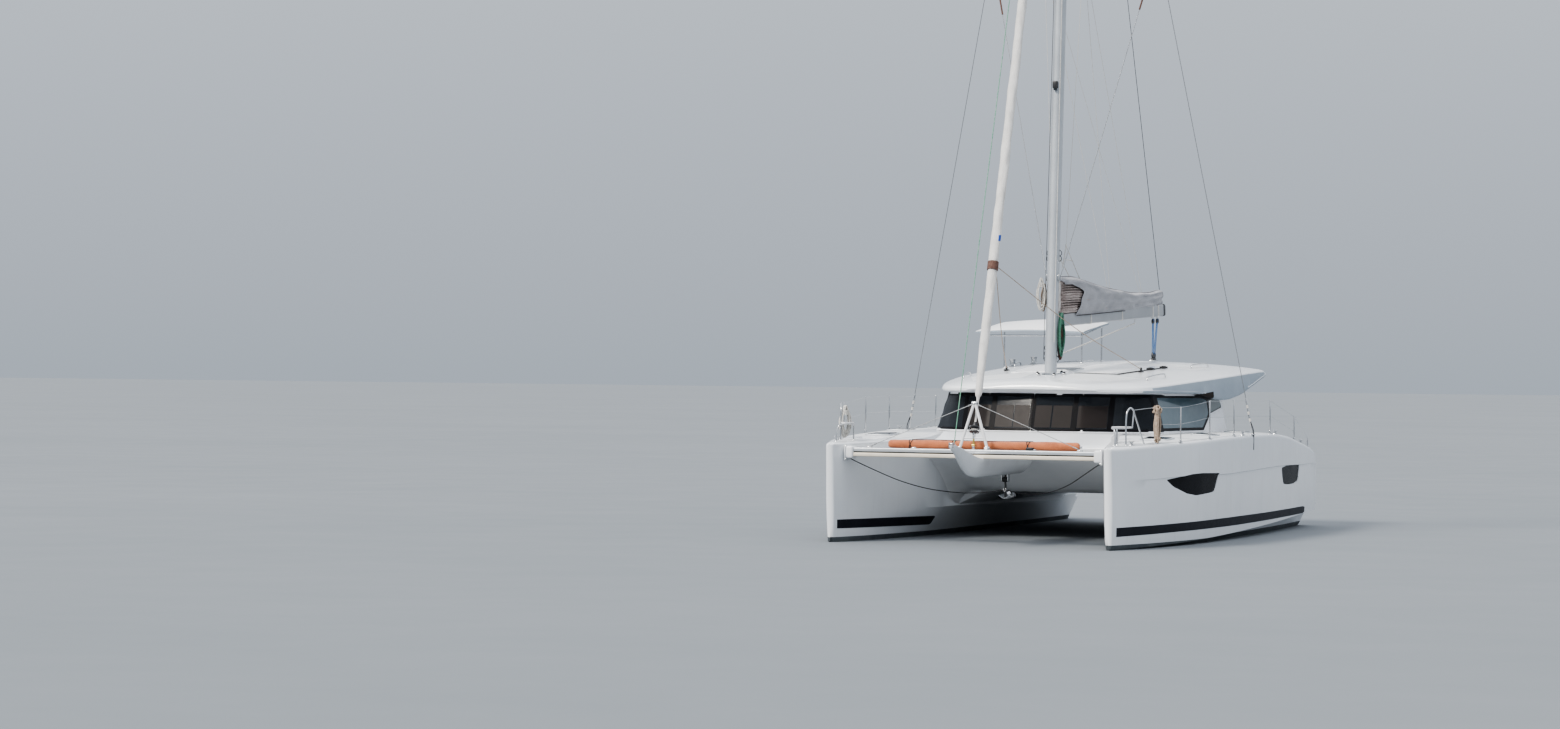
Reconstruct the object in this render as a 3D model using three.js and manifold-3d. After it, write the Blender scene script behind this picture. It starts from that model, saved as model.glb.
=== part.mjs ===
// Sailing catamaran, cruising type, afloat. Millimetres, +X to the bow, +Y to port, +Z up.
// The origin is on the waterline amidships, on the centreline.
import * as THREE from "three";
import { mergeVertices } from "three/addons/utils/BufferGeometryUtils.js";
import Module from "manifold-3d";

const wasm = await Module();
wasm.setup();

// Main sizes
const GAP = 0.3; // between pieces that touch
const HULL_Y = 2430; // hull centreline from the boat's centreline
const STERN_X = -5865;
const INNER_Y = 1550; // joint between hull and bridgedeck
const DECK_FRONT_X = 3100;
const COCKPIT_AFT_X = -4950;
const BULKHEAD_X = -2600; // aft face of the saloon
const FLOOR_Z = 950;
const COAMING_Z = 1500;

// Hull sections. Columns: x; half-breadths outboard at the sheer, chine and waterline; half-breadths
// inboard at the deck and waterline; heights of the sheer, inner deck edge, chine and canoe body; and
// the distance by which the lower points lie aft of the sheer, which is the stem's shape.
const HULL_STATIONS = [
  [5845, 38, 32, 30, 38, 32, 1620, 1620, 20, -250, 110],
  [5790, 74, 62, 58, 74, 60, 1665, 1665, 20, -380, 105],
  [5300, 245, 195, 165, 215, 184, 1690, 1680, 25, -500, 60],
  [4500, 470, 400, 320, 420, 320, 1720, 1700, 35, -560, 0],
  [3100, 715, 640, 490, 760, 470, 1765, 1760, 60, -600, 0],
  [2600, 770, 700, 530, 880, 510, 1780, 1830, 75, -605, 0],
  [500, 870, 825, 610, 880, 580, 1830, 1850, 130, -600, 0],
  [-1600, 885, 860, 630, 880, 600, 1845, 1850, 190, -550, 0],
  [-2900, 875, 850, 620, 880, 600, 1790, 1650, 230, -470, 0],
  [-4200, 845, 820, 600, 880, 590, 1655, COAMING_Z, 275, -350, 0],
  [-5200, 810, 785, 570, 870, 570, 1530, 1420, 310, -200, 0],
  [-5640, 790, 770, 555, 840, 560, 1410, 1270, 325, -120, 0],
  [STERN_X, 740, 745, 545, 800, 550, 1190, 1080, 330, -80, 0],
].map(([x, sheer, chine, water, deckIn, waterIn, zSheer, zIn, zChine, zKeel, rake]) => {
  return { x, sheer, chine, water, deckIn, waterIn, zSheer, zIn, zChine, zKeel, rake };
});
const CREASE_Z = 1230; // knuckle line along the topsides
const HAUNCH_Z = 520; // foot of the flat inboard face beside the bridgedeck

// Transom steps: forward edge and tread height
const STEPS = [
  { x: -4760, z: 1130 },
  { x: -5150, z: 790 },
  { x: -5500, z: 460 },
];
const STEP_INNER_Y = 1500;
const STEP_OUTER_Y = 3010;

// Lids: centre x, centre y, length, width, top height, and depth of the well below
const BOW_LID = { x: 4050, y: 2420, length: 620, width: 460, top: 1698, depth: 620 };
const ENGINE_LID = { x: -4230, y: 2420, length: 860, width: 820, top: 1480, depth: 1270 };
const LID_THICK = 40;
const LID_RIM = 45;
const LID_CLEAR = 6;

const CROSSBEAM_X = 5450;
const CROSSBEAM_BOTTOM = 1450;
const CROSSBEAM_TOP = 1600;
const TRAMPOLINE_Z = 1565; // under side of the nets
const MAST_FOOT = { x: 1260, z: 2870 };
const MAST_TOP_Z = 18350;
const MAST_RAKE = 0.053; // metres aft for each metre up
const MAST_SECTION = { length: 290, width: 200 };
const SPREADER_TIP = { x: 100, y: 1570, z: 10600 };
const HOUNDS_Z = 17100;
const FORESTAY = { footX: 5450, footZ: 1790 };
const CHAINPLATE = { x: -380, y: 3292, z: 1800 };

const BOOM_LENGTH = 5550;
const BOOM_Z = 3730; // under side at the gooseneck
const BOOM_RISE = 0.06;
const BOOM_SWING = 4.5; // degrees, the end to port
const BOOM_SECTION = { width: 170, depth: 230 };

const DOOR = {
  x0: BULKHEAD_X - 104, x1: BULKHEAD_X - 66, y0: 320, y1: 1030, z0: FLOOR_Z + 30, z1: 2580,
};
const HELM_HATCH = { x0: -3720, x1: BULKHEAD_X - 60, y0: -2180, y1: -720 }; // roof opening
const RUDDER = { x: -4700, top: -380, bottom: -1080, stock: 36 };
const SAILDRIVE = { x: -3480, propX: -3725, propZ: -800 };

const colours = {
  gelcoat: 0xf1f2f2,
  deck: 0xe9eaea,
  glass: 0x1c2226,
  aluminium: 0xc9cccf,
  steel: 0xb4b8bc,
  dark: 0x1d1f22,
  canvas: 0xa9adb3,
  sail: 0xf3f3f1,
  orange: 0xd9733a,
  teak: 0x8d6f52,
  cushion: 0x8f8a80,
  antifouling: 0x4a4f55,
  bronze: 0xa98a4b,
  net: 0xd8d8d4,
};

const group = new THREE.Group();

function solid(geometry) {
  const bare = geometry.clone();
  bare.deleteAttribute("normal");
  bare.deleteAttribute("uv");
  const merged = mergeVertices(bare, 1e-3);
  return new wasm.Manifold(
    new wasm.Mesh({
      numProp: 3,
      vertProperties: new Float32Array(merged.attributes.position.array),
      triVerts: new Uint32Array(merged.index.array),
    }),
  );
}

function place(name, body, colour, options = {}) {
  const data = body.getMesh();
  const points = new Float32Array(data.numVert * 3);
  for (let i = 0; i < data.numVert; i++) {
    points.set(data.vertProperties.subarray(i * data.numProp, i * data.numProp + 3), i * 3);
  }
  const geometry = new THREE.BufferGeometry();
  geometry.setAttribute("position", new THREE.BufferAttribute(points, 3));
  geometry.setIndex(new THREE.BufferAttribute(new Uint32Array(data.triVerts), 1));
  geometry.computeVertexNormals();
  const material = new THREE.MeshStandardMaterial({ color: colour, roughness: 0.5, ...options });
  const mesh = new THREE.Mesh(geometry, material);
  mesh.name = name;
  group.add(mesh);
  return body;
}

// A closed skin over rings of equal count, each an array of [x, y, z]; caps are triangulated
function loft(rings) {
  const count = rings[0].length;
  const positions = rings.flat(2);
  const index = [];
  for (let r = 0; r < rings.length - 1; r++) {
    for (let i = 0; i < count; i++) {
      const j = (i + 1) % count;
      const [a, b, c, d] = [r * count + i, r * count + j, (r + 1) * count + j, (r + 1) * count + i];
      index.push(a, b, c, a, c, d);
    }
  }
  const faces = capOf(rings[0]);
  const last = (rings.length - 1) * count;
  for (const [a, b, c] of faces) index.push(a, c, b, last + a, last + b, last + c);
  const geometry = new THREE.BufferGeometry();
  geometry.setAttribute("position", new THREE.Float32BufferAttribute(positions, 3));
  geometry.setIndex(index);
  let body = solid(geometry);
  if (body.volume() < 0) {
    const turned = [];
    for (let i = 0; i < index.length; i += 3) turned.push(index[i], index[i + 2], index[i + 1]);
    geometry.setIndex(turned);
    body = solid(geometry);
  }
  return body;
}

// Triangles of a flat ring, wound as the ring is
function capOf(ring) {
  const normal = new THREE.Vector3();
  ring.forEach((p, i) => {
    const q = ring[(i + 1) % ring.length];
    normal.x += (p[1] - q[1]) * (p[2] + q[2]);
    normal.y += (p[2] - q[2]) * (p[0] + q[0]);
    normal.z += (p[0] - q[0]) * (p[1] + q[1]);
  });
  const size = normal.toArray().map(Math.abs);
  const drop = size.indexOf(Math.max(...size));
  const [u, v] = [(drop + 1) % 3, (drop + 2) % 3];
  const flat = ring.map((p) => new THREE.Vector2(p[u], p[v]));
  const clockwise = THREE.ShapeUtils.isClockWise(flat);
  const faces = THREE.ShapeUtils.triangulateShape(flat, []);
  return faces.map((f) => {
    const [a, b, c] = f.map((i) => flat[i]);
    const turn = (b.x - a.x) * (c.y - a.y) - (b.y - a.y) * (c.x - a.x);
    return turn < 0 === clockwise ? f : [f[0], f[2], f[1]];
  });
}

function box(x0, x1, y0, y1, z0, z1) {
  const geometry = new THREE.BoxGeometry(x1 - x0, y1 - y0, z1 - z0);
  geometry.translate((x0 + x1) / 2, (y0 + y1) / 2, (z0 + z1) / 2);
  return solid(geometry);
}

const alongX = (outline, x0, x1) => loft([x0, x1].map((x) => outline.map(([y, z]) => [x, y, z])));
const alongY = (outline, y0, y1) => loft([y0, y1].map((y) => outline.map(([x, z]) => [x, y, z])));
const alongZ = (outline, z0, z1) => loft([z0, z1].map((z) => outline.map(([x, y]) => [x, y, z])));

// A round bar from one point to another
function bar(from, to, radius, sides = 6) {
  const a = new THREE.Vector3(...from);
  const b = new THREE.Vector3(...to);
  const geometry = new THREE.CylinderGeometry(radius, radius, a.distanceTo(b), sides);
  geometry.applyQuaternion(
    new THREE.Quaternion().setFromUnitVectors(
      new THREE.Vector3(0, 1, 0),
      b.clone().sub(a).normalize(),
    ),
  );
  geometry.translate((a.x + b.x) / 2, (a.y + b.y) / 2, (a.z + b.z) / 2);
  return solid(geometry);
}

// Bars along a row of points, with a ball at each bend
function rail(points, radius, sides = 6) {
  const pieces = [];
  points.slice(1).forEach((p, i) => pieces.push(bar(points[i], p, radius, sides)));
  points.slice(1, -1).forEach((p) => {
    const ball = new THREE.IcosahedronGeometry(radius * 1.2, 0);
    ball.translate(...p);
    pieces.push(solid(ball));
  });
  return join(pieces);
}

// A bent round bar, such as a rope
function cord(points, radius, steps) {
  const curve = new THREE.CatmullRomCurve3(points.map((p) => new THREE.Vector3(...p)));
  const shape = new THREE.Shape();
  for (let i = 0; i < 8; i++) {
    const angle = (i / 8) * Math.PI * 2;
    shape[i ? "lineTo" : "moveTo"](radius * Math.cos(angle), radius * Math.sin(angle));
  }
  shape.closePath();
  const body = solid(
    new THREE.ExtrudeGeometry(shape, { steps, extrudePath: curve, bevelEnabled: false }),
  );
  return body;
}

const join = (pieces) => pieces.reduce((all, piece) => all.add(piece));
const largest = (body) => body.decompose().sort((a, b) => b.volume() - a.volume())[0];
const port = (body) => body;
const starboard = (body) => body.mirror([0, 1, 0]);
const SIDES = [
  ["port", port],
  ["starboard", starboard],
];

// Cuts a piece so that it rests on its neighbour, with the small gap in the given direction
const seat = (body, neighbour, x, y, z) => body.subtract(neighbour.translate([x, y, z]));

function hullRing(s) {
  const outline = [
    [0, s.zKeel],
    [s.water * 0.62, s.zKeel * 0.72],
    [s.water, s.zChine - 40],
    [s.chine, s.zChine],
    [s.sheer + 4, CREASE_Z * (s.zSheer / 1800)],
    [s.sheer, s.zSheer - 75],
    [s.sheer - Math.min(45, s.sheer * 0.4), s.zSheer],
    [-s.deckIn, s.zIn],
    [-s.deckIn, HAUNCH_Z],
    [-s.waterIn, -20],
    [-s.waterIn * 0.62, s.zKeel * 0.72],
  ];
  return outline.map(([y, z]) => {
    const down = Math.max(0, 1 - z / s.zSheer);
    return [s.x - s.rake * down * (z < 0 ? 1.6 : 1), HULL_Y + y, z];
  });
}

function lidWell(lid) {
  const [hx, hy] = [lid.length / 2, lid.width / 2];
  const seatZ = lid.top - LID_THICK - GAP;
  const recess = box(lid.x - hx - LID_CLEAR, lid.x + hx + LID_CLEAR, lid.y - hy - LID_CLEAR,
    lid.y + hy + LID_CLEAR, seatZ, lid.top + 400);
  const well = box(lid.x - hx + LID_RIM, lid.x + hx - LID_RIM, lid.y - hy + LID_RIM,
    lid.y + hy - LID_RIM, lid.top - lid.depth, seatZ + 10);
  return recess.add(well);
}

function lidOf(lid) {
  const [hx, hy] = [lid.length / 2, lid.width / 2];
  return box(lid.x - hx, lid.x + hx, lid.y - hy, lid.y + hy, lid.top - LID_THICK, lid.top);
}

function hull() {
  let body = loft(HULL_STATIONS.map(hullRing));
  STEPS.forEach(({ x, z }) => {
    body = body.subtract(box(STERN_X - 50, x, STEP_INNER_Y, STEP_OUTER_Y, z, 2500));
  });
  body = body.subtract(lidWell(BOW_LID)).subtract(lidWell(ENGINE_LID));
  const tube = bar([RUDDER.x, HULL_Y, -600], [RUDDER.x, HULL_Y, -100], RUDDER.stock + 0.7, 24);
  return body.subtract(tube);
}

const hullPort = hull();
const hullStarboard = starboard(hullPort);
SIDES.forEach(([side, turn]) => place("hull_" + side, turn(hullPort), colours.gelcoat));

SIDES.forEach(([side, turn]) => {
  place("bow_locker_lid_" + side, turn(lidOf(BOW_LID)), colours.deck);
  place("engine_lid_" + side, turn(lidOf(ENGINE_LID)), colours.deck);
  const engineFloor = ENGINE_LID.top - ENGINE_LID.depth + GAP;
  const engine = box(-4560, -3900, HULL_Y - 230, HULL_Y + 210, engineFloor, engineFloor + 600);
  place("engine_" + side, turn(engine), colours.dark);
});

// Bridgedeck: tunnel roof with the saloon and cockpit wells sunk into it
function bridgedeck() {
  const side = INNER_Y - GAP;
  const outline = [
    [DECK_FRONT_X, 1620],
    [DECK_FRONT_X, 1440],
    [1900, 800],
    [-4700, 720],
    [COCKPIT_AFT_X, 860],
    [COCKPIT_AFT_X, COAMING_Z],
    [BULKHEAD_X - 250, COAMING_Z],
    [BULKHEAD_X, 1850],
    [2480, 1850],
  ];
  let body = alongY(outline, -side, side);
  [1, -1].forEach((s) => {
    const [outer, inner] = [s * side, s * (side - 420)];
    const haunch = [[outer, HAUNCH_Z + 20], [outer, 1000], [inner, 1000], [inner, 760]];
    body = body.add(alongX(haunch, 1700, -4650));
  });
  body = body.subtract(box(BULKHEAD_X + 60, 2150, -1450, 1450, FLOOR_Z, 2500));
  body = body.subtract(box(COCKPIT_AFT_X + 70, BULKHEAD_X - 60, -1450, 1450, FLOOR_Z, 2500));
  body = body.subtract(box(BULKHEAD_X - 70, BULKHEAD_X + 70, -420, 1020, FLOOR_Z, 2500));
  // gangways from the cockpit to the transom steps
  [1, -1].forEach((s) => {
    const [y0, y1] = [s * 1440, s * 1600].sort((a, b) => a - b);
    body = body.subtract(box(COCKPIT_AFT_X - 10, -4450, y0, y1, STEPS[0].z, 2500));
  });
  // runner for the saloon door
  return body.add(box(DOOR.x0 + 8, DOOR.x1 - 8, -440, 1040, FLOOR_Z - 5, DOOR.z0 - GAP));
}
const bridge = place("bridgedeck", bridgedeck(), colours.gelcoat);

// V-bottomed central beam that runs forward from the bridgedeck and out past the crossbeam
function centralBeam() {
  const top = CROSSBEAM_BOTTOM - GAP;
  const rings = [
    { x: 6600, half: 40, top: 1690, low: 1620 },
    { x: 6250, half: 90, top: 1625, low: 1470 },
    { x: 5600, half: 200, top: top, low: 1160 },
    { x: 5300, half: 230, top: top, low: 1130 },
    { x: DECK_FRONT_X + GAP, half: 300, top: top, low: 1150 },
  ].map((r) => [
    [r.x, -r.half, r.top],
    [r.x, -r.half * 0.95, r.top - 40],
    [r.x, -r.half * 0.15, r.low],
    [r.x, r.half * 0.15, r.low],
    [r.x, r.half * 0.95, r.top - 40],
    [r.x, r.half, r.top],
  ]);
  const spine = box(DECK_FRONT_X + GAP, CROSSBEAM_X - 76, -150, 150, top - 60, TRAMPOLINE_Z + 10);
  return loft(rings).add(spine);
}
place("central_beam", centralBeam(), colours.gelcoat);

function crossbeam() {
  const outline = [
    [CROSSBEAM_X - 75, CROSSBEAM_BOTTOM],
    [CROSSBEAM_X + 55, CROSSBEAM_BOTTOM],
    [CROSSBEAM_X + 75, CROSSBEAM_BOTTOM + 25],
    [CROSSBEAM_X + 75, CROSSBEAM_TOP - 35],
    [CROSSBEAM_X + 50, CROSSBEAM_TOP],
    [CROSSBEAM_X - 50, CROSSBEAM_TOP],
    [CROSSBEAM_X - 75, CROSSBEAM_TOP - 35],
  ];
  const body = seat(alongY(outline, -HULL_Y, HULL_Y), hullPort, 0, -0.5, 0);
  return seat(body, hullStarboard, 0, 0.5, 0);
}
place("crossbeam", crossbeam(), colours.aluminium);

// A-frame that holds the forestay's pull over the crossbeam
function striker() {
  const apex = [CROSSBEAM_X - 40, 0, 2370];
  const legs = [-1, 1].map((s) => bar([CROSSBEAM_X, s * 245, CROSSBEAM_TOP + 8], apex, 24, 10));
  const footZ = CROSSBEAM_TOP + GAP;
  const feet = [-245, 245].map((y) =>
    box(CROSSBEAM_X - 40, CROSSBEAM_X + 40, y - 50, y + 50, footZ, CROSSBEAM_TOP + 14));
  const head = box(apex[0] - 45, apex[0] + 45, -60, 60, apex[2] - 30, apex[2] + 40);
  return join([...legs, ...feet, head]);
}

const mastX = (z) => MAST_FOOT.x - MAST_RAKE * (z - MAST_FOOT.z);
const forestayX = (z) => {
  const share = (z - FORESTAY.footZ) / (HOUNDS_Z - FORESTAY.footZ);
  return FORESTAY.footX + (mastX(HOUNDS_Z) + 150 - FORESTAY.footX) * share;
};
const stayPoint = (z) => [forestayX(z), 0, z];

const strikerFrame = striker().subtract(bar(stayPoint(1500), stayPoint(2600), 40, 12));
place("striker", strikerFrame, colours.aluminium);

function trampoline() {
  const outline = [
    [CROSSBEAM_X - 75 - GAP, 150 + GAP],
    [CROSSBEAM_X - 75 - GAP, HULL_Y],
    [DECK_FRONT_X + GAP, HULL_Y],
    [DECK_FRONT_X + GAP, 150 + GAP],
  ];
  return largest(seat(alongZ(outline, TRAMPOLINE_Z, TRAMPOLINE_Z + 14), hullPort, 0, -0.4, 0));
}
SIDES.forEach(([side, turn]) => place("trampoline_" + side, turn(trampoline()), colours.net));

function anchor() {
  const x = 3750;
  const roller = join([
    box(x - 110, x + 130, -60, -46, 1010, 1400),
    box(x - 110, x + 130, 46, 60, 1010, 1400),
    bar([x + 60, -55, 1040], [x + 60, 55, 1040], 26, 12),
  ]);
  const shankOutline = [
    [x + 66, 1030], [x + 30, 1110], [x - 40, 1100],
    [x - 20, 770], [x + 70, 690], [x + 60, 760],
  ];
  const shank = alongY(shankOutline, -12, 12);
  const fluke = loft([
    [[x + 40, -16, 800], [x + 40, 16, 800], [x + 74, 16, 700], [x + 74, -16, 700]],
    [[x - 110, -150, 860], [x - 110, 150, 860], [x - 60, 150, 760], [x - 60, -150, 760]],
    [[x - 330, -12, 820], [x - 330, 12, 820], [x - 326, 12, 808], [x - 326, -12, 808]],
  ]);
  return seat(join([roller, shank, fluke]), centralBeam(), 0, 0, -0.4);
}
const anchorBody = place("anchor", anchor(), colours.steel);

// Bridle: two slack ropes from the bows to the anchor's swivel
const BRIDLE_ROUTE = [
  [5420, 2260, 1440],
  [5405, 2150, 1380],
  [5190, 1850, 1215],
  [4900, 1500, 1035],
  [4600, 1120, 905],
  [4300, 740, 840],
  [4050, 420, 830],
  [3870, 190, 852],
  [3790, 60, 880],
  [3775, 0, 896],
];
function bridle() {
  const rope = cord(BRIDLE_ROUTE, 8, 64);
  return largest(seat(seat(rope, hullPort, 0, -0.4, 0), anchorBody, 0, 0.4, 0));
}
SIDES.forEach(([side, turn]) => place("bridle_" + side, turn(bridle()), colours.dark));

// Cabin plan at the sill and at the roof, from the centre front round the port side
const CABIN_SILL = [
  [2420, 0], [2300, 900], [1960, 1640], [1560, 2040], [-1650, 2200], [BULKHEAD_X, 2230],
];
const CABIN_HEAD = [
  [2150, 0], [2060, 860], [1760, 1540], [1330, 1880], [-1650, 2080], [BULKHEAD_X, 2120],
];
const SILL_Z = 1855;
const HEAD_Z = 2560;
const WALL = 60;

const mirrored = (half) => [...half, ...half.slice(1).reverse().map(([x, y]) => [x, -y])];
const inset = (half, by) =>
  half.map(([x, y], i) => [x - (i === half.length - 1 ? 2 * by : by), Math.max(0, y - by)]);
const between = (a, b, t) => a + (b - a) * t;

// Prismoid between the cabin's plan at the sill and at the head, moved in by a distance
function cabinBlock(by, z0, z1) {
  const at = (z) => {
    const t = (z - SILL_Z) / (HEAD_Z - SILL_Z);
    const plan = CABIN_SILL.map(([x, y], i) => {
      const [headX, headY] = CABIN_HEAD[i];
      return [between(x, headX, t), between(y, headY, t)];
    });
    return mirrored(inset(plan, by)).map(([x, y]) => [x, y, z]);
  };
  return loft([at(z0), at(z1)]);
}

// Roof sections: x, half-breadth, and heights of the blade's foot and top, and of the crown
const ROOF_STATIONS = [
  { x: 2380, half: 1180, foot: 2575, edge: 2640, crown: 2730 },
  { x: 2080, half: 1640, foot: 2560, edge: 2655, crown: 2790 },
  { x: 1560, half: 1960, foot: 2560, edge: 2690, crown: 2850 },
  { x: 0, half: 2300, foot: 2550, edge: 2800, crown: 2985 },
  { x: -1500, half: 2470, foot: 2440, edge: 2890, crown: 3090 },
  { x: -2400, half: 2520, foot: 2520, edge: 2940, crown: 3140 },
  { x: -3300, half: 2540, foot: 2690, edge: 2985, crown: 3170 },
  { x: -4400, half: 2500, foot: 2870, edge: 3020, crown: 3165 },
  { x: -5320, half: 2250, foot: 2970, edge: 3020, crown: 3100 },
];
function roofRing(s) {
  const soffit = Math.max(HEAD_Z + 1, s.crown - 110);
  const half = [
    [0, s.crown],
    [s.half * 0.55, s.crown - (s.crown - s.edge) * 0.28],
    [s.half - 160, s.edge + 12],
    [s.half - 30, s.edge - 10],
    [s.half, s.foot + 30],
    [s.half - 60, s.foot],
    [s.half - 150, Math.min(soffit, s.foot + 25)],
    [s.half - 260, soffit - 60],
    [0, soffit],
  ];
  const other = half.slice(1, -1).reverse().map(([y, z]) => [-y, z]);
  return [...half, ...other].map(([y, z]) => [s.x, y, z]);
}
const roofWhole = loft(ROOF_STATIONS.map(roofRing));
const roofBody = roofWhole.subtract(
  box(HELM_HATCH.x0, HELM_HATCH.x1, HELM_HATCH.y0, HELM_HATCH.y1, 2000, 4000),
);

// Windows: a band round the front, and one long light and a quarter light on each side. The same
// outlines cut the walls and, drawn in by a little, the glass.
const sideways = (outline) => alongY(outline, 1600, 2400);
const frontBand = (by) => box(1250 + by, 3000, -2300, 2300, 1905 + by, HEAD_Z - 45 - by);
const sideLight = (by) => sideways([
  [1180 - by, 1905 + by], [-1150, 1905 + by], [-1640 + by, 2180],
  [-1640 + by, 2515 - by], [1180 - by, 2515 - by],
]);
const quarterLight = (by) => sideways([
  [-1760 - by, 2230 + 3 * by], [-2420 + 3 * by, 2330 + 3 * by],
  [-2320 + by, 2500 - by], [-1760 - by, 2500 - by],
]);

const MULLIONS = [
  { y: 0, half: 35 },
  { y: 880, half: 35 },
  { y: -880, half: 35 },
  { y: 1560, half: 45 },
  { y: -1560, half: 45 },
];
function cabinWalls() {
  let body = cabinBlock(0, SILL_Z, 3100).subtract(cabinBlock(WALL, SILL_Z - 10, 3200));
  body = body.subtract(box(BULKHEAD_X - 500, BULKHEAD_X + 2, -2400, 2400, 1500, 3300));
  body = body.subtract(frontBand(0));
  [port, starboard].forEach((turn) => {
    body = body.subtract(turn(sideLight(0))).subtract(turn(quarterLight(0)));
  });
  // mullions behind the front band
  const behindGlass = cabinBlock(14, SILL_Z, HEAD_Z).subtract(cabinBlock(WALL, SILL_Z - 10, 3200));
  MULLIONS.forEach(({ y, half }) => {
    body = body.add(behindGlass.intersect(box(1200, 2600, y - half, y + half, SILL_Z, HEAD_Z)));
  });
  return body;
}

const deckBelow = join([hullPort, hullStarboard, bridge]);
const wallsUnderRoof = seat(cabinWalls(), roofWhole, 0, 0, -0.4);
const walls = largest(seat(wallsUnderRoof, deckBelow, 0, 0, 0.4));
place("cabin_walls", walls, colours.gelcoat);
place("coachroof", roofBody, colours.gelcoat);

// Glass: an 8 mm sheet in the cut bands
const GLASS = [colours.glass, { transparent: true, opacity: 0.6 }];
const sheet = cabinBlock(2, SILL_Z, HEAD_Z).subtract(cabinBlock(10, SILL_Z - 10, HEAD_Z + 10));
place("windscreen", sheet.intersect(frontBand(GAP)), ...GLASS);
SIDES.forEach(([side, turn]) => {
  place("side_glass_" + side, turn(sheet.intersect(sideLight(GAP))), ...GLASS);
  place("quarter_glass_" + side, turn(sheet.intersect(quarterLight(GAP))), ...GLASS);
});

// Aft bulkhead with the doorway, and the sliding door behind it
const WALL_AFT = { x0: BULKHEAD_X - 45, x1: BULKHEAD_X, sill: 1930, head: 2470 };
const AFT_LIGHTS = [
  ["port", 1130, 1980],
  ["starboard", -1980, -530],
];
const throughWall = (y0, y1, z0, z1) => box(WALL_AFT.x0 - 1, WALL_AFT.x1 + 1, y0, y1, z0, z1);
function bulkhead() {
  const { x0, x1, sill, head } = WALL_AFT;
  let body = box(x0, x1, -2100, 2120, FLOOR_Z + GAP, 3100);
  body = body.subtract(throughWall(-2300, -460, 0, COAMING_Z + 360));
  body = body.subtract(throughWall(1060, 2300, 0, COAMING_Z + 360));
  body = body.subtract(throughWall(-400, 1000, FLOOR_Z + 60, 2560));
  AFT_LIGHTS.forEach(([, y0, y1]) => {
    body = body.subtract(throughWall(y0, y1, sill, head));
  });
  body = seat(body, roofWhole, 0, 0, -0.4);
  return largest(seat(seat(body, deckBelow, 0, 0, 0.4), deckBelow, -0.4, 0, 0));
}
place("saloon_bulkhead", bulkhead(), colours.gelcoat);
AFT_LIGHTS.forEach(([side, y0, y1]) => {
  const { x0, sill, head } = WALL_AFT;
  const pane = box(x0 + 18, x0 + 26, y0 + GAP, y1 - GAP, sill + GAP, head - GAP);
  place("aft_glass_" + side, pane, ...GLASS);
});

function saloonDoor() {
  const { x0, x1, y0, y1, z0, z1 } = DOOR;
  const recess = box(x0 + 14, x1 + 9, y0 + 55, y1 - 55, z0 + 70, z1 - 55);
  return box(x0, x1, y0, y1, z0, z1).subtract(recess);
}
place("saloon_door", saloonDoor(), colours.glass, { transparent: true, opacity: 0.7 });

// Saloon: seat round the table to port, galley to starboard
function sofa() {
  const z = FLOOR_Z + GAP;
  return join([
    box(-900, 1500, 850, 1430, z, 1370),
    box(950, 1500, -250, 1430, z, 1370),
    box(-900, 1500, 1300, 1430, z, 1730),
    box(1380, 1500, -250, 1430, z, 1730),
  ]);
}
place("saloon_seat", sofa(), colours.cushion);
function table(x, y, length, width, height, floor) {
  return join([
    box(x - length / 2, x + length / 2, y - width / 2, y + width / 2, floor + height - 35, floor + height),
    bar([x, y, floor + GAP], [x, y, floor + height - 10], 45, 12),
    bar([x, y, floor + GAP], [x, y, floor + 20], 180, 16),
  ]);
}
place("saloon_table", table(350, 380, 950, 700, 640, FLOOR_Z), colours.teak);
place("galley", join([
  box(-2300, 600, -1430, -850, FLOOR_Z + GAP, 1850),
  box(600, 1500, -1430, -1000, FLOOR_Z + GAP, 1850),
]), colours.deck);

// Cockpit: bench along the stern and up the port side, with its table
place("cockpit_bench", join([
  box(COCKPIT_AFT_X + 90, -4350, -1200, 1200, FLOOR_Z + GAP, 1380),
  box(COCKPIT_AFT_X + 90, -4780, -1200, 1200, FLOOR_Z + GAP, 1780),
  box(-4360, -3250, 900, 1430, FLOOR_Z + GAP, 1380),
]), colours.cushion);
place("cockpit_table", table(-3800, 200, 800, 900, 680, FLOOR_Z), colours.teak);

// Helm on the starboard side, raised beside the roof; the wheel turns against a bearing on the dash
const WHEEL = { x: -3125, y: -1440, z: 2150, radius: 330, bearingX: -3035 };
const HELM = { x0: -3560, x1: -2700, y0: -2000, y1: -800, floor: 1760, top: 2360 };
function helmPod() {
  const base = box(HELM.x0, HELM.x1, HELM.y0, HELM.y1, COAMING_Z + GAP, HELM.floor);
  const legs = box(HELM.x0 + 120, HELM.x1 - 60, -1440, HELM.y1, FLOOR_Z + GAP, HELM.floor - 10);
  const dash = alongY(
    [[HELM.x1 - 330, HELM.floor - 5], [HELM.x1, HELM.floor - 5], [HELM.x1, HELM.top - 60],
      [HELM.x1 - 70, HELM.top], [HELM.x1 - 260, HELM.top - 160]],
    HELM.y0 + 60, HELM.y1 - 60);
  const bearing = bar([WHEEL.bearingX, WHEEL.y, WHEEL.z], [WHEEL.bearingX + 90, WHEEL.y, WHEEL.z], 45, 16);
  const whole = join([base, legs, dash, bearing]);
  return seat(seat(whole, hullStarboard, 0, 0, 0.4), bridge, 0, 0, 0.4);
}
place("helm_pod", helmPod(), colours.gelcoat);

function helmSeat() {
  const z = HELM.floor + GAP;
  return join([
    box(-3545, -3330, -1960, -920, z, z + 430),
    box(-3560, -3490, -1960, -920, z + 420, z + 900),
  ]);
}
place("helm_seat", helmSeat(), colours.cushion);

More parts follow.
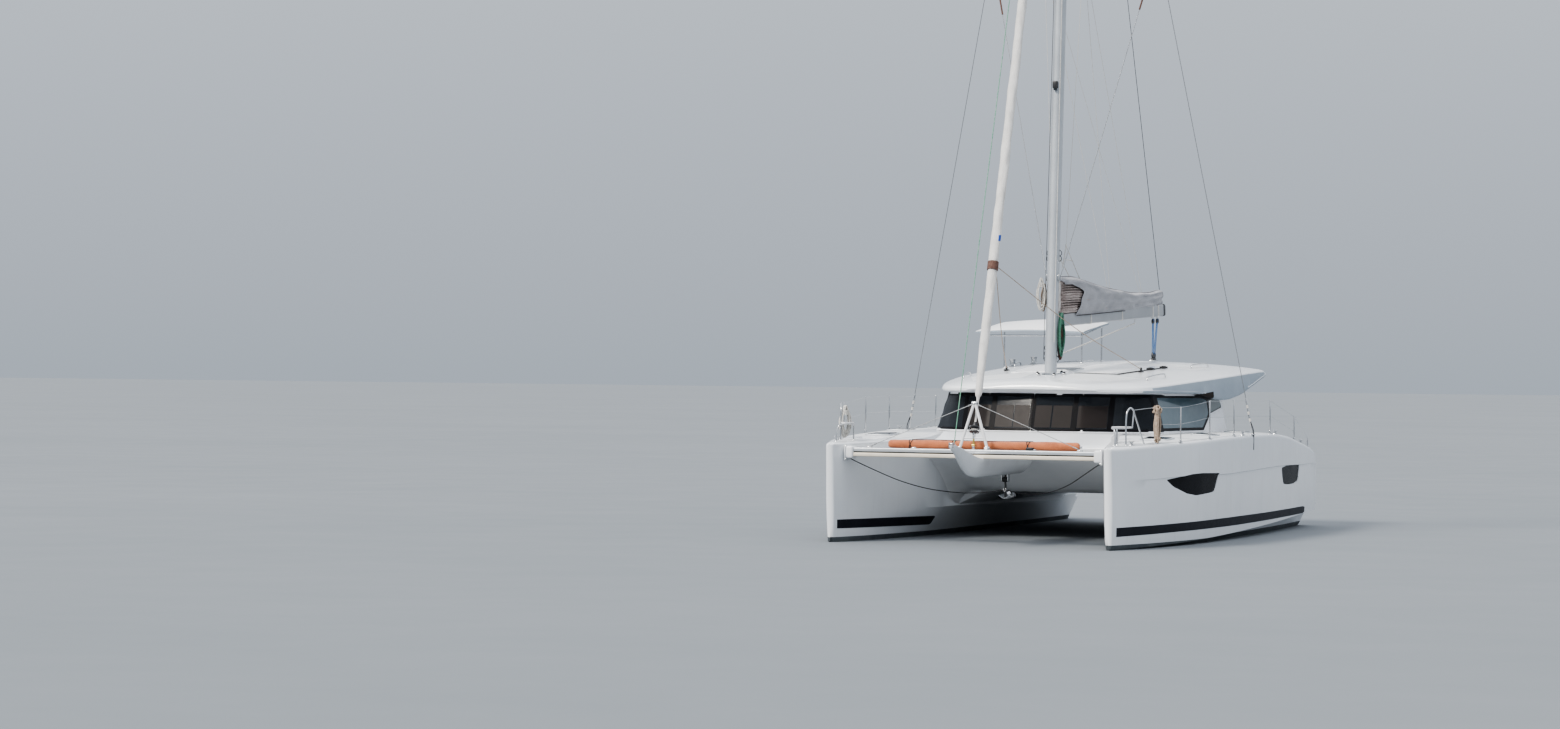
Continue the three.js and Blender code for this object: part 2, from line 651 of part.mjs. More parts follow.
function helmWheel() {
  const rimShape = new THREE.TorusGeometry(WHEEL.radius, 15, 6, 28);
  rimShape.rotateY(Math.PI / 2);
  const pieces = [solid(rimShape), bar([-30, 0, 0], [30, 0, 0], 55, 16)];
  for (let i = 0; i < 5; i++) {
    const a = (i / 5) * Math.PI * 2 + Math.PI / 2;
    pieces.push(bar([0, 0, 0], [0, Math.cos(a) * WHEEL.radius, Math.sin(a) * WHEEL.radius], 9, 8));
  }
  pieces.push(bar([0, 0, 0], [WHEEL.bearingX - GAP - WHEEL.x, 0, 0], 18, 12));
  return join(pieces).translate([WHEEL.x, WHEEL.y, WHEEL.z]);
}
place("helm_wheel", helmWheel(), colours.steel);

// Canopy over the helm, on four posts
const BIMINI = { y0: -2440, y1: -300, thick: 45, drop: 80 };
const BIMINI_ROWS = [
  [-3350, 3900, 3960],
  [-2500, 3800, 3925],
  [-2050, 3750, 3855],
  [-1700, 3700, 3738],
].map(([x, edge, crown]) => ({ x, edge, crown }));
function bimini() {
  const { y0, y1, thick } = BIMINI;
  const middle = (y0 + y1) / 2;
  return loft(BIMINI_ROWS.map(({ x, edge, crown }) => {
    const rise = 0.42 * (crown - edge);
    return [
      [x, y0, edge], [x, y0 + 300, edge + rise], [x, middle, crown],
      [x, y1 - 300, edge + rise], [x, y1, edge],
      [x, y1 - 20, edge - thick], [x, y1 - 320, edge + rise - thick], [x, middle, crown - thick],
      [x, y0 + 320, edge + rise - thick], [x, y0 + 20, edge - thick],
    ];
  }));
}
const canopy = place("helm_bimini", bimini(), colours.gelcoat);
function biminiFrame() {
  const { y0, y1, drop } = BIMINI;
  const [aft, fore] = [BIMINI_ROWS[0], BIMINI_ROWS.at(-1)];
  const ends = [{ x: aft.x + 180, z: aft.edge - drop }, { x: fore.x - 180, z: fore.edge - drop }];
  const [ya, yb] = [y0 + 90, y1 - 90];
  const across = ends.map(({ x, z }) => bar([x, ya, z], [x, yb, z], 16));
  const along = [ya, yb].map((y) => bar([ends[0].x, y, ends[0].z], [ends[1].x, y, ends[1].z], 14));
  const posts = [ya, yb].flatMap((y) => ends.map(({ x, z }) => bar([x, y, 2900], [x, y, z + 120], 16)));
  const whole = join([...across, ...along, ...posts]);
  return largest(seat(seat(whole, roofBody, 0, 0, 0.4), canopy, 0, 0, -0.4));
}
place("bimini_frame", biminiFrame(), colours.steel);

function mastTube() {
  const { length, width } = MAST_SECTION;
  const oval = [];
  for (let i = 0; i < 16; i++) {
    const a = (i / 16) * Math.PI * 2;
    oval.push([(Math.cos(a) * length) / 2, (Math.sin(a) * width) / 2]);
  }
  const at = (z, share) => oval.map(([x, y]) => [mastX(z) + x * share, y * share, z]);
  return loft([at(MAST_FOOT.z - 60, 1), at(HOUNDS_Z, 1), at(MAST_TOP_Z, 0.8)]);
}
function mast() {
  const spreader = (s) => bar(
    [mastX(SPREADER_TIP.z - 60), 0, SPREADER_TIP.z - 60],
    [SPREADER_TIP.x, s * SPREADER_TIP.y, SPREADER_TIP.z], 30, 8);
  const top = mastX(MAST_TOP_Z);
  const crane = box(top - 330, top + 130, -22, 22, MAST_TOP_Z - 60, MAST_TOP_Z);
  const step = box(MAST_FOOT.x - 190, MAST_FOOT.x + 190, -140, 140, MAST_FOOT.z - 90, MAST_FOOT.z + 22);
  const whole = seat(join([mastTube(), spreader(1), spreader(-1), crane, step]), roofBody, 0, 0, 0.4);
  return largest(whole.subtract(capShroud(0.5)).subtract(starboard(capShroud(0.5))));
}
const mastBody = place("mast", mast(), colours.aluminium);

// Boom and the bag along it, laid out aft of the gooseneck's pin and then swung out a little
const PIVOT = [mastX(BOOM_Z + 115) - 225, 0, BOOM_Z + 115];
const swing = (body) => {
  const [x, y] = PIVOT;
  return body.translate([-x, -y, 0]).rotate([0, 0, -BOOM_SWING]).translate([x, y, 0]);
};
const boomZ = (x) => BOOM_Z + BOOM_RISE * (PIVOT[0] - x);
function boomOutline(x, rounding) {
  const [half, z] = [BOOM_SECTION.width / 2, boomZ(x)];
  const top = z + BOOM_SECTION.depth;
  return [
    [x, -half + rounding, z], [x, half - rounding, z], [x, half, z + 60], [x, half, top - 30],
    [x, half - 30, top], [x, -half + 30, top], [x, -half, top - 30], [x, -half, z + 60],
  ];
}
function boom() {
  const [x, y, z] = PIVOT;
  const beam = loft([boomOutline(x - 60, 40), boomOutline(x - BOOM_LENGTH, 40)]);
  const tongue = box(x - 70, x, -20, 20, z - 38, z + 38);
  const eye = bar([x, y, z - 38], [x, y, z + 38], 26, 16);
  const hole = bar([x, y, z - 60], [x, y, z + 60], 13, 16);
  return beam.add(tongue).add(eye).subtract(hole);
}
function gooseneck() {
  const [x, y, z] = PIVOT;
  const lug = (z0, z1) => box(x - 24, x + 110, -26, 26, z0, z1);
  const plate = box(x + 60, x + 110, -45, 45, z - 100, z + 100);
  const pin = bar([x, y, z - 56], [x, y, z + 56], 12.5, 16);
  return seat(join([lug(z - 58, z - 44), lug(z + 44, z + 58), plate, pin]), mastBody, -0.4, 0, 0);
}
place("boom", swing(boom()), colours.aluminium);
place("gooseneck", gooseneck(), colours.steel);

const BAG_STATIONS = [
  { back: 80, half: 200, height: 690 },
  { back: 600, half: 190, height: 675 },
  { back: 1200, half: 180, height: 605 },
  { back: 2200, half: 160, height: 455 },
  { back: 3050, half: 145, height: 365 },
  { back: 3900, half: 125, height: 290 },
  { back: 4700, half: 105, height: 270 },
  { back: 5350, half: 80, height: 290 },
];
function sailBag() {
  const rings = BAG_STATIONS.map(({ back, half, height }) => {
    const x = PIVOT[0] - back;
    const z = boomZ(x) + BOOM_SECTION.depth + 1;
    return [
      [x, -60, z], [x, 60, z], [x, half, z + height * 0.22], [x, half * 0.92, z + height * 0.6],
      [x, half * 0.3, z + height], [x, -half * 0.3, z + height],
      [x, -half * 0.92, z + height * 0.6], [x, -half, z + height * 0.22],
    ];
  });
  return loft(rings);
}
place("sail_bag", swing(sailBag()), colours.canvas);

// Headsail rolled on its stay, with the furling drum at the foot
const rollRing = (z, r) => {
  const ring = [];
  for (let i = 0; i < 12; i++) {
    const a = (i / 12) * Math.PI * 2;
    ring.push([forestayX(z) + r * Math.cos(a), r * Math.sin(a), z]);
  }
  return ring;
};
function genoa() {
  const rings = [
    [2050, 16], [2450, 22], [2500, 62], [4500, 82], [9000, 78], [13000, 62], [15600, 40],
    [15650, 14], [HOUNDS_Z + 40, 12],
  ].map(([z, r]) => rollRing(z, r));
  return seat(loft(rings), mastBody, 0.4, 0, 0);
}
place("furled_genoa", genoa(), colours.sail);
function furler() {
  const drum = loft([
    [1880, 24], [1900, 85], [1925, 85], [1930, 50], [2000, 50], [2005, 85], [2022, 85], [2049.6, 26],
  ].map(([z, r]) => rollRing(z, r)));
  const toggle = loft([[CROSSBEAM_TOP + 30, 20], [1890, 20]].map(([z, r]) => rollRing(z, r)));
  const eyeX = forestayX(CROSSBEAM_TOP + 10);
  const eye = box(eyeX - 40, eyeX + 40, -18, 18, CROSSBEAM_TOP + GAP, CROSSBEAM_TOP + 80);
  return join([drum, toggle, eye]);
}
place("furler_drum", furler(), colours.dark);

// Main shrouds from the chainplates to the hounds
function capShroud(extra = 0) {
  const foot = [CHAINPLATE.x, CHAINPLATE.y, CHAINPLATE.z];
  const tip = [SPREADER_TIP.x, SPREADER_TIP.y, SPREADER_TIP.z];
  const head = [mastX(HOUNDS_Z) - 90, 40, HOUNDS_Z];
  const at = (t) => foot.map((v, i) => v + (tip[i] - v) * t);
  return join([
    rail([foot, tip, head], 6 + extra),
    bar(at(0.02), at(0.07), 15 + extra, 8),
    bar(foot, at(0.021), 10 + extra, 8),
  ]);
}
const shroudPort = seat(seat(capShroud(), hullPort, 0, 0, 0.5), mastTube(), -0.5, 0.5, 0);
SIDES.forEach(([side, turn]) => place("cap_shroud_" + side, turn(largest(shroudPort)), colours.steel));

// Guardrails: bow pulpit, stanchions and two lifelines in one welded and threaded piece
const STANCHIONS = [
  { x: 3600, y: 3040 },
  { x: 2200, y: 3170 },
  { x: 800, y: 3240 },
  { x: -1780, y: 3256 },
  { x: -3850, y: 3215 },
  { x: -5200, y: 3160, up: 300, share: 0.48 },
];
const sheerZ = (x) => {
  const i = HULL_STATIONS.findIndex((s) => s.x <= x);
  const [a, b] = [HULL_STATIONS[i - 1], HULL_STATIONS[i]];
  return a.zSheer + ((b.zSheer - a.zSheer) * (x - a.x)) / (b.x - a.x);
};
const BOW_POST = [4300, 2815];
function guardrail() {
  const post = ({ x, y, up = 610 }) => bar([x, y, sheerZ(x) - 60], [x, y, sheerZ(x) + up], 12.5, 6);
  const line = (up) => {
    const ends = STANCHIONS.map(({ x, y, share = 1 }) => [x, y, sheerZ(x) + up * share]);
    const points = [[...BOW_POST, 1735 + up], ...ends];
    return points.slice(1).map((p, i) => bar(points[i], p, 4, 4));
  };
  const arch = rail([
    [5080, 2520, 1640], [5070, 2520, 2260], [4990, 2560, 2330], [4890, 2600, 2280], [4560, 2705, 1650],
  ], 14);
  const bowPost = rail([[...BOW_POST, 1650], [...BOW_POST, 2345]], 12.5);
  const bench = rail([
    [5480, 2450, 1630], [5440, 2440, 1930], [5330, 2350, 1985], [4960, 2330, 1990], [4960, 2330, 1650],
  ], 14);
  const links = join([
    bar([5330, 2350, 1985], [5075, 2520, 1985], 12.5),
    bar([4960, 2330, 1990], [4930, 2585, 2000], 12.5),
    bar([4890, 2600, 2280], [...BOW_POST, 2335], 8),
    bar([4930, 2585, 2000], [4885, 2600, 2285], 12.5),
  ]);
  const body = join([arch, bowPost, bench, links, ...STANCHIONS.map(post), ...line(600), ...line(320)]);
  return largest(seat(body, hullPort, 0, 0, 0.4));
}
SIDES.forEach(([side, turn]) => place("guardrail_" + side, turn(guardrail()), colours.steel));

// Below the waterline: fixed keels, rudders, saildrive legs and propellers
function keel() {
  const ring = (z, fore, aft, half) => [
    [fore, HULL_Y, z], [fore - 120, HULL_Y + half * 0.7, z], [(fore + aft) / 2, HULL_Y + half, z],
    [aft, HULL_Y, z], [(fore + aft) / 2, HULL_Y - half, z], [fore - 120, HULL_Y - half * 0.7, z],
  ];
  return seat(loft([ring(-1200, 900, -850, 90), ring(-450, 1450, -1000, 130)]), hullPort, 0, 0, -0.4);
}
function rudder() {
  const ring = (z, fore, aft, half) => [
    [fore, HULL_Y, z], [fore - 80, HULL_Y + half, z], [aft, HULL_Y + 4, z], [aft, HULL_Y - 4, z],
    [fore - 80, HULL_Y - half, z],
  ];
  const { x, top, bottom, stock } = RUDDER;
  const blade = loft([ring(bottom, x + 60, x - 270, 22), ring(top, x + 130, x - 330, 38)]);
  return blade.add(bar([x, HULL_Y, top - 60], [x, HULL_Y, -130], stock, 24));
}
function saildrive() {
  const { x, propX, propZ } = SAILDRIVE;
  const ring = (z, fore, aft, half) => [
    [fore, HULL_Y, z], [fore - 50, HULL_Y + half, z], [aft + 30, HULL_Y + half, z], [aft, HULL_Y, z],
    [aft + 30, HULL_Y - half, z], [fore - 50, HULL_Y - half, z],
  ];
  const leg = loft([
    ring(propZ - 110, x + 70, x - 110, 28), ring(propZ, x + 110, x - 150, 50),
    ring(-300, x + 130, x - 150, 50),
  ]);
  const pod = bar([x + 150, HULL_Y, propZ], [propX + 45.4, HULL_Y, propZ], 68, 16);
  return seat(join([leg, pod]), hullPort, 0, 0, -0.4);
}
function propeller() {
  const { propX, propZ } = SAILDRIVE;
  const pieces = [bar([45, 0, 0], [-70, 0, 0], 55, 16)];
  for (let i = 0; i < 3; i++) {
    const blade = loft([
      [[18, -28, 40], [26, -24, 40], [-18, 28, 40], [-26, 24, 40]],
      [[26, -62, 140], [34, -58, 140], [-26, 62, 140], [-34, 58, 140]],
      [[12, -36, 210], [18, -32, 210], [-12, 36, 210], [-18, 32, 210]],
    ]);
    pieces.push(blade.rotate([i * 120, 0, 0]));
  }
  return join(pieces).translate([propX, HULL_Y, propZ]);
}
SIDES.forEach(([side, turn]) => {
  place("keel_" + side, turn(keel()), colours.antifouling);
  place("rudder_" + side, turn(rudder()), colours.antifouling);
  place("saildrive_" + side, turn(saildrive()), colours.dark);
  place("propeller_" + side, turn(propeller()), colours.bronze);
});

// Long rolled sail in its orange cover, laid across the trampolines behind the crossbeam
// Columns: y, radius
const ROLL_STATIONS = [
  [-1600, 30], [-1570, 70], [-800, 82], [0, 76], [1000, 85], [1770, 76], [1810, 34],
];
function rolledSail() {
  const z = TRAMPOLINE_Z + 14 + 85.5;
  const rings = ROLL_STATIONS.map(([y, r]) => {
    const ring = [];
    for (let i = 0; i < 12; i++) {
      const a = (i / 12) * Math.PI * 2;
      ring.push([CROSSBEAM_X - 250 + r * Math.cos(a), y, z + r * Math.sin(a)]);
    }
    return ring;
  });
  return loft(rings);
}
place("rolled_sail", rolledSail(), colours.orange);

export default group;
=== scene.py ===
import random
from math import copysign, cos, exp, hypot, pi, radians, sin, sqrt

import bpy
from mathutils import Matrix, Vector


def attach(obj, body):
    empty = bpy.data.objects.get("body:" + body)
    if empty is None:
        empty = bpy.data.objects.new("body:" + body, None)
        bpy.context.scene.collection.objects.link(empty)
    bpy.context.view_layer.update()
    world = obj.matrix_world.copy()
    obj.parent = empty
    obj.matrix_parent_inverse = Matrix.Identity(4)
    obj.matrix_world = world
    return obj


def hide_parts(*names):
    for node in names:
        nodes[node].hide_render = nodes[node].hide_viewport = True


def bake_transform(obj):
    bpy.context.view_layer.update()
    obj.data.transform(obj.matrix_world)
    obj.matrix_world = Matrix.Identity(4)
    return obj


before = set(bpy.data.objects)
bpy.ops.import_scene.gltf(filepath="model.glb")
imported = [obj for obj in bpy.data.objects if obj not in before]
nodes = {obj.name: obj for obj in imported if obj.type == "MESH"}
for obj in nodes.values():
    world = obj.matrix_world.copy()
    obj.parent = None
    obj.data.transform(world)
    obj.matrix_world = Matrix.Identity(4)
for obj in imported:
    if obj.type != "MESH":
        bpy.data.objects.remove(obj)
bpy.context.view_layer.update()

sides = {"port": 1, "starboard": -1}
print("frame loaded:", len(nodes), "nodes")


# Camera, floor and light
camera = {
    "place": (55.94, 17.35, 2.7), "yaw": 202.44, "pitch": 0.302, "roll": 0.619,
    "focal": 3200, "photoWidth": 1560, "sensor": 36,
}
studio = {
    "floorSize": 3000, "horizon": (0.3, 0.335, 0.38), "zenith": (1.0, 1.03, 1.08), "skyPower": 1.32,
    "sunFrom": (0.7, -0.42, 0.72), "sunColour": (1.0, 0.94, 0.86), "sunPower": 3.4, "sunAngle": 14,
}


def makeCamera():
    data = bpy.data.cameras.new("photo_camera")
    data.sensor_width = camera["sensor"]
    data.lens = camera["focal"] / camera["photoWidth"] * camera["sensor"]
    data.clip_start, data.clip_end = 0.5, 4000
    obj = bpy.data.objects.new("photo_camera", data)
    bpy.context.scene.collection.objects.link(obj)
    yaw, pitch, roll = (radians(camera[key]) for key in ("yaw", "pitch", "roll"))
    ahead = Vector((cos(pitch) * cos(yaw), cos(pitch) * sin(yaw), sin(pitch)))
    right = ahead.cross(Vector((0, 0, 1))).normalized()
    up = right.cross(ahead)
    x = right * cos(roll) + up * sin(roll)
    y = up * cos(roll) - right * sin(roll)
    turn = Matrix((x, y, -ahead)).transposed().to_4x4()
    obj.matrix_world = Matrix.Translation(camera["place"]) @ turn
    bpy.context.scene.camera = obj


def makeStudio():
    bpy.ops.mesh.primitive_plane_add(size=studio["floorSize"])
    floor = bpy.context.object
    floor.name = "floor"
    floor.data.materials.append(finishes["floor"])
    world = bpy.data.worlds.new("studio")
    bpy.context.scene.world = world
    world.use_nodes = True
    bpy.context.scene.view_settings.look = "AgX - Medium High Contrast"
    tree = world.node_tree
    back = tree.nodes["Background"]
    back.inputs["Strength"].default_value = studio["skyPower"]
    direction = tree.nodes.new("ShaderNodeTexCoord")
    split = tree.nodes.new("ShaderNodeSeparateXYZ")
    ramp = tree.nodes.new("ShaderNodeValToRGB")
    ramp.color_ramp.elements[0].color = (*studio["horizon"], 1)
    ramp.color_ramp.elements[1].color = (*studio["zenith"], 1)
    ramp.color_ramp.elements[1].position = 0.75
    tree.links.new(direction.outputs["Generated"], split.inputs[0])
    tree.links.new(split.outputs["Z"], ramp.inputs["Fac"])
    tree.links.new(ramp.outputs["Color"], back.inputs["Color"])
    sun = bpy.data.lights.new("key", "SUN")
    sun.energy, sun.angle = studio["sunPower"], radians(studio["sunAngle"])
    sun.color = studio["sunColour"]
    obj = bpy.data.objects.new("key", sun)
    bpy.context.scene.collection.objects.link(obj)
    obj.rotation_euler = Vector(studio["sunFrom"]).to_track_quat("Z", "Y").to_euler()


# Finishes. Grain is the mottling per metre, bump its height in metres, and weave, twist, planks and
# grip are the periods in metres of thread, rope lay, boards and deck pattern.
looks = {
    # colour, second colour, roughness, grain, bump, and what only some finishes have
    "floor": ((0.2, 0.22, 0.24), (0.185, 0.205, 0.225), 0.8, 0.05, 0.001),
    "gelcoat": ((0.8, 0.82, 0.84), (0.73, 0.755, 0.785), 0.22, 0.45, 0.0006, dict(coat=0.35, streak=True)),
    "moulding": ((0.82, 0.83, 0.84), (0.75, 0.765, 0.78), 0.34, 1.2, 0.0006),
    "lining": ((0.62, 0.6, 0.56), (0.54, 0.52, 0.48), 0.7, 6, 0.001),
    "deckGrip": ((0.66, 0.675, 0.69), (0.6, 0.615, 0.63), 0.85, 3, 0.0012, dict(grip=0.014)),
    "antifoul": ((0.05, 0.06, 0.072), (0.1, 0.115, 0.12), 0.78, 1.6, 0.002),
    "stripe": ((0.008, 0.009, 0.014), (0.014, 0.015, 0.022), 0.45, 2, 0.0002, dict(shine=0.15)),
    "cabinGlass": ((0.012, 0.015, 0.019), (0.02, 0.024, 0.03), 0.12, 0.8, 0.0004, dict(shine=0.12, alpha=0.9)),
    # sideGlass and quarterGlass: glass coloured light blue and grey-green as painted reflection of the sky
    "sideGlass": ((0.085, 0.135, 0.165), (0.125, 0.175, 0.2), 0.08, 0.8, 0.0004, dict(shine=0.5, alpha=0.9)),
    "quarterGlass": ((0.135, 0.175, 0.17), (0.165, 0.2, 0.195), 0.12, 0.8, 0.0003, dict(alpha=0.92)),
    "hullGlass": ((0.006, 0.006, 0.008), (0.01, 0.01, 0.013), 0.25, 1.5, 0.0003, dict(shine=0.04)),
    "frit": ((0.006, 0.006, 0.007), (0.009, 0.009, 0.011), 0.4, 5, 0.0002, dict(shine=0.08)),
    "blindFilm": ((0.024, 0.0195, 0.0185), (0.017, 0.014, 0.0135), 0.4, 1.5, 0.0003, dict(shine=0.15)),
    # soffit: blue-grey painted shade and painted sky reflection, put on white faces that look down or outward
    "soffit": ((0.33, 0.385, 0.44), (0.28, 0.335, 0.39), 0.5, 1.2, 0.0005),
    "shadowTrim": ((0.022, 0.018, 0.016), (0.03, 0.025, 0.022), 0.6, 2, 0.0004, dict(shine=0.1)),
    # wallGelPaintedLight: a brighter copy of the gelcoat, painted light that makes the cabin walls look lit
    "wallGelPaintedLight": ((0.94, 0.95, 0.97), (0.88, 0.89, 0.92), 0.3, 0.8, 0.0004, dict(coat=0.2)),
    # boomSparPaintedShade: a darker copy of the spar aluminium, painted shade under the sail bag
    "boomSparPaintedShade": ((0.4, 0.415, 0.435), (0.34, 0.355, 0.375), 0.4, 1.5, 0.0003, dict(metal=0.35)),
    "spar": ((0.52, 0.55, 0.58), (0.45, 0.48, 0.51), 0.36, 1.5, 0.0003, dict(metal=0.35, coat=0.1)),
    "whitePaint": ((0.8, 0.8, 0.81), (0.72, 0.72, 0.73), 0.38, 4, 0.0005),
    "creamPaint": ((0.74, 0.68, 0.58), (0.66, 0.6, 0.5), 0.42, 4, 0.0005),
    "stainless": ((0.66, 0.67, 0.68), (0.52, 0.53, 0.54), 0.2, 9, 0.0002, dict(metal=1.0)),
    "darkMetal": ((0.03, 0.031, 0.034), (0.055, 0.056, 0.06), 0.42, 12, 0.0005, dict(metal=0.3)),
    "rubber": ((0.018, 0.018, 0.019), (0.035, 0.035, 0.036), 0.75, 20, 0.0006),
    "brass": ((0.66, 0.5, 0.17), (0.48, 0.36, 0.12), 0.3, 14, 0.0004, dict(metal=0.9)),
    "bronze": ((0.56, 0.42, 0.2), (0.34, 0.3, 0.19), 0.35, 11, 0.0008, dict(metal=0.95)),
    "bagCloth": ((0.37, 0.375, 0.4), (0.3, 0.305, 0.33), 0.88, 2.4, 0.003, dict(sheen=0.25, weave=0.006)),
    "sailCloth": ((0.8, 0.79, 0.77), (0.68, 0.665, 0.64), 0.7, 5, 0.004, dict(sheen=0.15, weave=0.008)),
    "sailFold": ((0.36, 0.29, 0.27), (0.54, 0.48, 0.45), 0.85, 9, 0.006, dict(sheen=0.2, weave=0.008)),
    "orangeCover": ((0.62, 0.205, 0.085), (0.5, 0.155, 0.065), 0.85, 7, 0.005, dict(sheen=0.3, weave=0.005)),
    "blueMark": ((0.03, 0.09, 0.42), (0.05, 0.12, 0.5), 0.7, 9, 0.001, dict(weave=0.006)),
    "brownBand": ((0.115, 0.058, 0.045), (0.2, 0.115, 0.09), 0.85, 20, 0.002, dict(weave=0.006)),
    "seatCloth": ((0.4, 0.385, 0.36), (0.33, 0.315, 0.295), 0.92, 8, 0.002, dict(sheen=0.4, weave=0.007)),
    "deckCushion": ((0.24, 0.25, 0.265), (0.19, 0.2, 0.215), 0.9, 7, 0.002, dict(sheen=0.3, weave=0.007)),
    "netCord": ((0.74, 0.74, 0.72), (0.62, 0.62, 0.6), 0.85, 25, 0.001),
    "blackRope": ((0.022, 0.022, 0.025), (0.06, 0.06, 0.065), 0.9, 30, 0.002, dict(twist=0.02)),
    "whiteRope": ((0.7, 0.69, 0.66), (0.5, 0.48, 0.44), 0.9, 30, 0.002, dict(twist=0.02)),
    "beigeRope": ((0.34, 0.25, 0.18), (0.56, 0.48, 0.4), 0.92, 40, 0.002, dict(twist=0.025)),
    "blueRope": ((0.025, 0.1, 0.3), (0.1, 0.22, 0.42), 0.9, 30, 0.002, dict(twist=0.02)),
    "hankGreen": ((0.035, 0.15, 0.1), (0.13, 0.25, 0.19), 0.9, 30, 0.002, dict(twist=0.02)),
    "greenRope": ((0.08, 0.32, 0.2), (0.4, 0.52, 0.44), 0.9, 30, 0.002, dict(twist=0.02)),
    "wire": ((0.3, 0.31, 0.32), (0.42, 0.43, 0.44), 0.35, 60, 0.001, dict(metal=0.9, twist=0.02)),
    "walnut": ((0.26, 0.15, 0.085), (0.36, 0.22, 0.13), 0.35, 2, 0.0008, dict(planks=0.14, coat=0.2)),
    "soleBoards": ((0.36, 0.27, 0.19), (0.28, 0.205, 0.145), 0.5, 2, 0.0008, dict(planks=0.11)),
    "screen": ((0.008, 0.012, 0.016), (0.015, 0.025, 0.035), 0.12, 6, 0.0001, dict(coat=0.5)),
    "enginePaint": ((0.42, 0.43, 0.44), (0.32, 0.33, 0.34), 0.45, 9, 0.001),
}


def makeFinish(name, colour, tint, rough, grain, bump, metal=0.0, coat=0.0, sheen=0.0, alpha=1.0,
               weave=0.0, twist=0.0, planks=0.0, grip=0.0, streak=False, shine=0.5):
    material = bpy.data.materials.new(name)
    material.use_nodes = True
    tree = material.node_tree
    shader = tree.nodes["Principled BSDF"]

    def node(kind, **settings):
        made = tree.nodes.new("ShaderNode" + kind)
        for key, value in settings.items():
            if key in made.inputs:
                made.inputs[key].default_value = value
            else:
                setattr(made, key, value)
        return made

    def join(a, output, b, socket):
        tree.links.new(a.outputs[output], b.inputs[socket])

    place = node("TexCoord")
    mottle = node("TexNoise", Scale=grain, Detail=5.0, Roughness=0.62)
    spread = node("ValToRGB")
    spread.color_ramp.elements[0].position, spread.color_ramp.elements[1].position = 0.36, 0.68
    spread.color_ramp.elements[0].color = (*colour, 1)
    spread.color_ramp.elements[1].color = (*tint, 1)
    join(place, "Object", mottle, "Vector")
    join(mottle, "Fac", spread, "Fac")
    colourFrom, colourSocket = spread, "Color"

    def darken(factorNode, socket, shade, amount):
        nonlocal colourFrom, colourSocket
        mix = node("Mix", data_type="RGBA", blend_type="MIX")
        scale = node("Math", operation="MULTIPLY")
        scale.inputs[1].default_value = amount
        join(factorNode, socket, scale, 0)
        join(scale, 0, mix, 0)
        tree.links.new(colourFrom.outputs[colourSocket], mix.inputs[6])
        mix.inputs[7].default_value = (*shade, 1)
        colourFrom, colourSocket = mix, 2

    fine = node("TexNoise", Scale=grain * 11, Detail=3.0)
    join(place, "Object", fine, "Vector")
    height, heightSocket = fine, "Fac"
    if streak:  # rain marks that run down a topside
        stretch = node("Mapping", Scale=(9.0, 9.0, 0.35))
        marks = node("TexNoise", Scale=1.0, Detail=6.0, Roughness=0.7)
        level = node("MapRange", **{"From Min": 0.55, "From Max": 0.8})
        join(place, "Object", stretch, "Vector")
        join(stretch, "Vector", marks, "Vector")
        join(marks, "Fac", level, "Value")
        darken(level, "Result", (0.56, 0.55, 0.52), 0.3)
    if weave or twist:
        threads = []
        for direction in ("X", "Y") if weave else ("DIAGONAL",):
            wave = node("TexWave", bands_direction=direction, Distortion=0.0)
            wave.inputs["Scale"].default_value = 0.314 / (weave or twist * 0.7)
            join(place, "UV", wave, "Vector")
            threads.append(wave)
        height, heightSocket = threads[0], "Fac"
        if weave:
            crossed = node("Math", operation="MULTIPLY")
            join(threads[0], "Fac", crossed, 0)
            join(threads[1], "Fac", crossed, 1)
            height, heightSocket = crossed, 0
        darken(height, heightSocket, tuple(c * 0.72 for c in colour), 0.45)
        mixed = node("Math", operation="ADD")
        join(height, heightSocket, mixed, 0)
        join(fine, "Fac", mixed, 1)
        height, heightSocket = mixed, 0
    if planks:
        boards = node("TexBrick", Scale=1.0, Color1=(0, 0, 0, 1), Color2=(0.35, 0.35, 0.35, 1), Mortar=(1, 1, 1, 1),
                      **{"Brick Width": planks * 14, "Row Height": planks, "Mortar Size": 0.002})
        join(place, "Object", boards, "Vector")
        darken(boards, "Color", (0.05, 0.035, 0.02), 0.7)
        figure = node("Mapping", Scale=(0.5, 22.0, 22.0))
        veins = node("TexNoise", Scale=1.4, Detail=7.0, Distortion=0.4)
        join(place, "Object", figure, "Vector")
        join(figure, "Vector", veins, "Vector")
        darken(veins, "Fac", tuple(c * 0.55 for c in colour), 0.55)
        height, heightSocket = veins, "Fac"
    if grip:
        studs = node("TexVoronoi", Scale=1 / grip, Randomness=0.0)
        join(place, "Object", studs, "Vector")
        darken(studs, "Distance", tuple(c * 0.8 for c in colour), 0.35)
        height, heightSocket = studs, "Distance"

    gloss = node("MapRange", **{"To Min": max(0.02, rough * 0.82), "To Max": min(1.0, rough * 1.25)})
    join(fine, "Fac", gloss, "Value")
    join(gloss, "Result", shader, "Roughness")
    relief = node("Bump", Strength=0.6, Distance=bump)
    tree.links.new(height.outputs[heightSocket], relief.inputs["Height"])
    join(relief, "Normal", shader, "Normal")
    tree.links.new(colourFrom.outputs[colourSocket], shader.inputs["Base Color"])
    settings = {"Metallic": metal, "Specular IOR Level": shine, "Coat Weight": coat, "Coat Roughness": 0.08,
                "Sheen Weight": sheen, "Alpha": alpha}
    for socket, value in settings.items():
        shader.inputs[socket].default_value = value
    return material


finishes = {name: makeFinish(name, *look[:5], **dict(*look[5:])) for name, look in looks.items()}
makeCamera()
makeStudio()
print("camera, light and", len(finishes), "finishes")


# Modelling helpers
def clearSelection():
    if bpy.context.mode != "OBJECT":
        bpy.ops.object.mode_set(mode="OBJECT")
    bpy.ops.object.select_all(action="DESELECT")


def activeOnly(obj):
    clearSelection()
    obj.select_set(True)
    bpy.context.view_layer.objects.active = obj


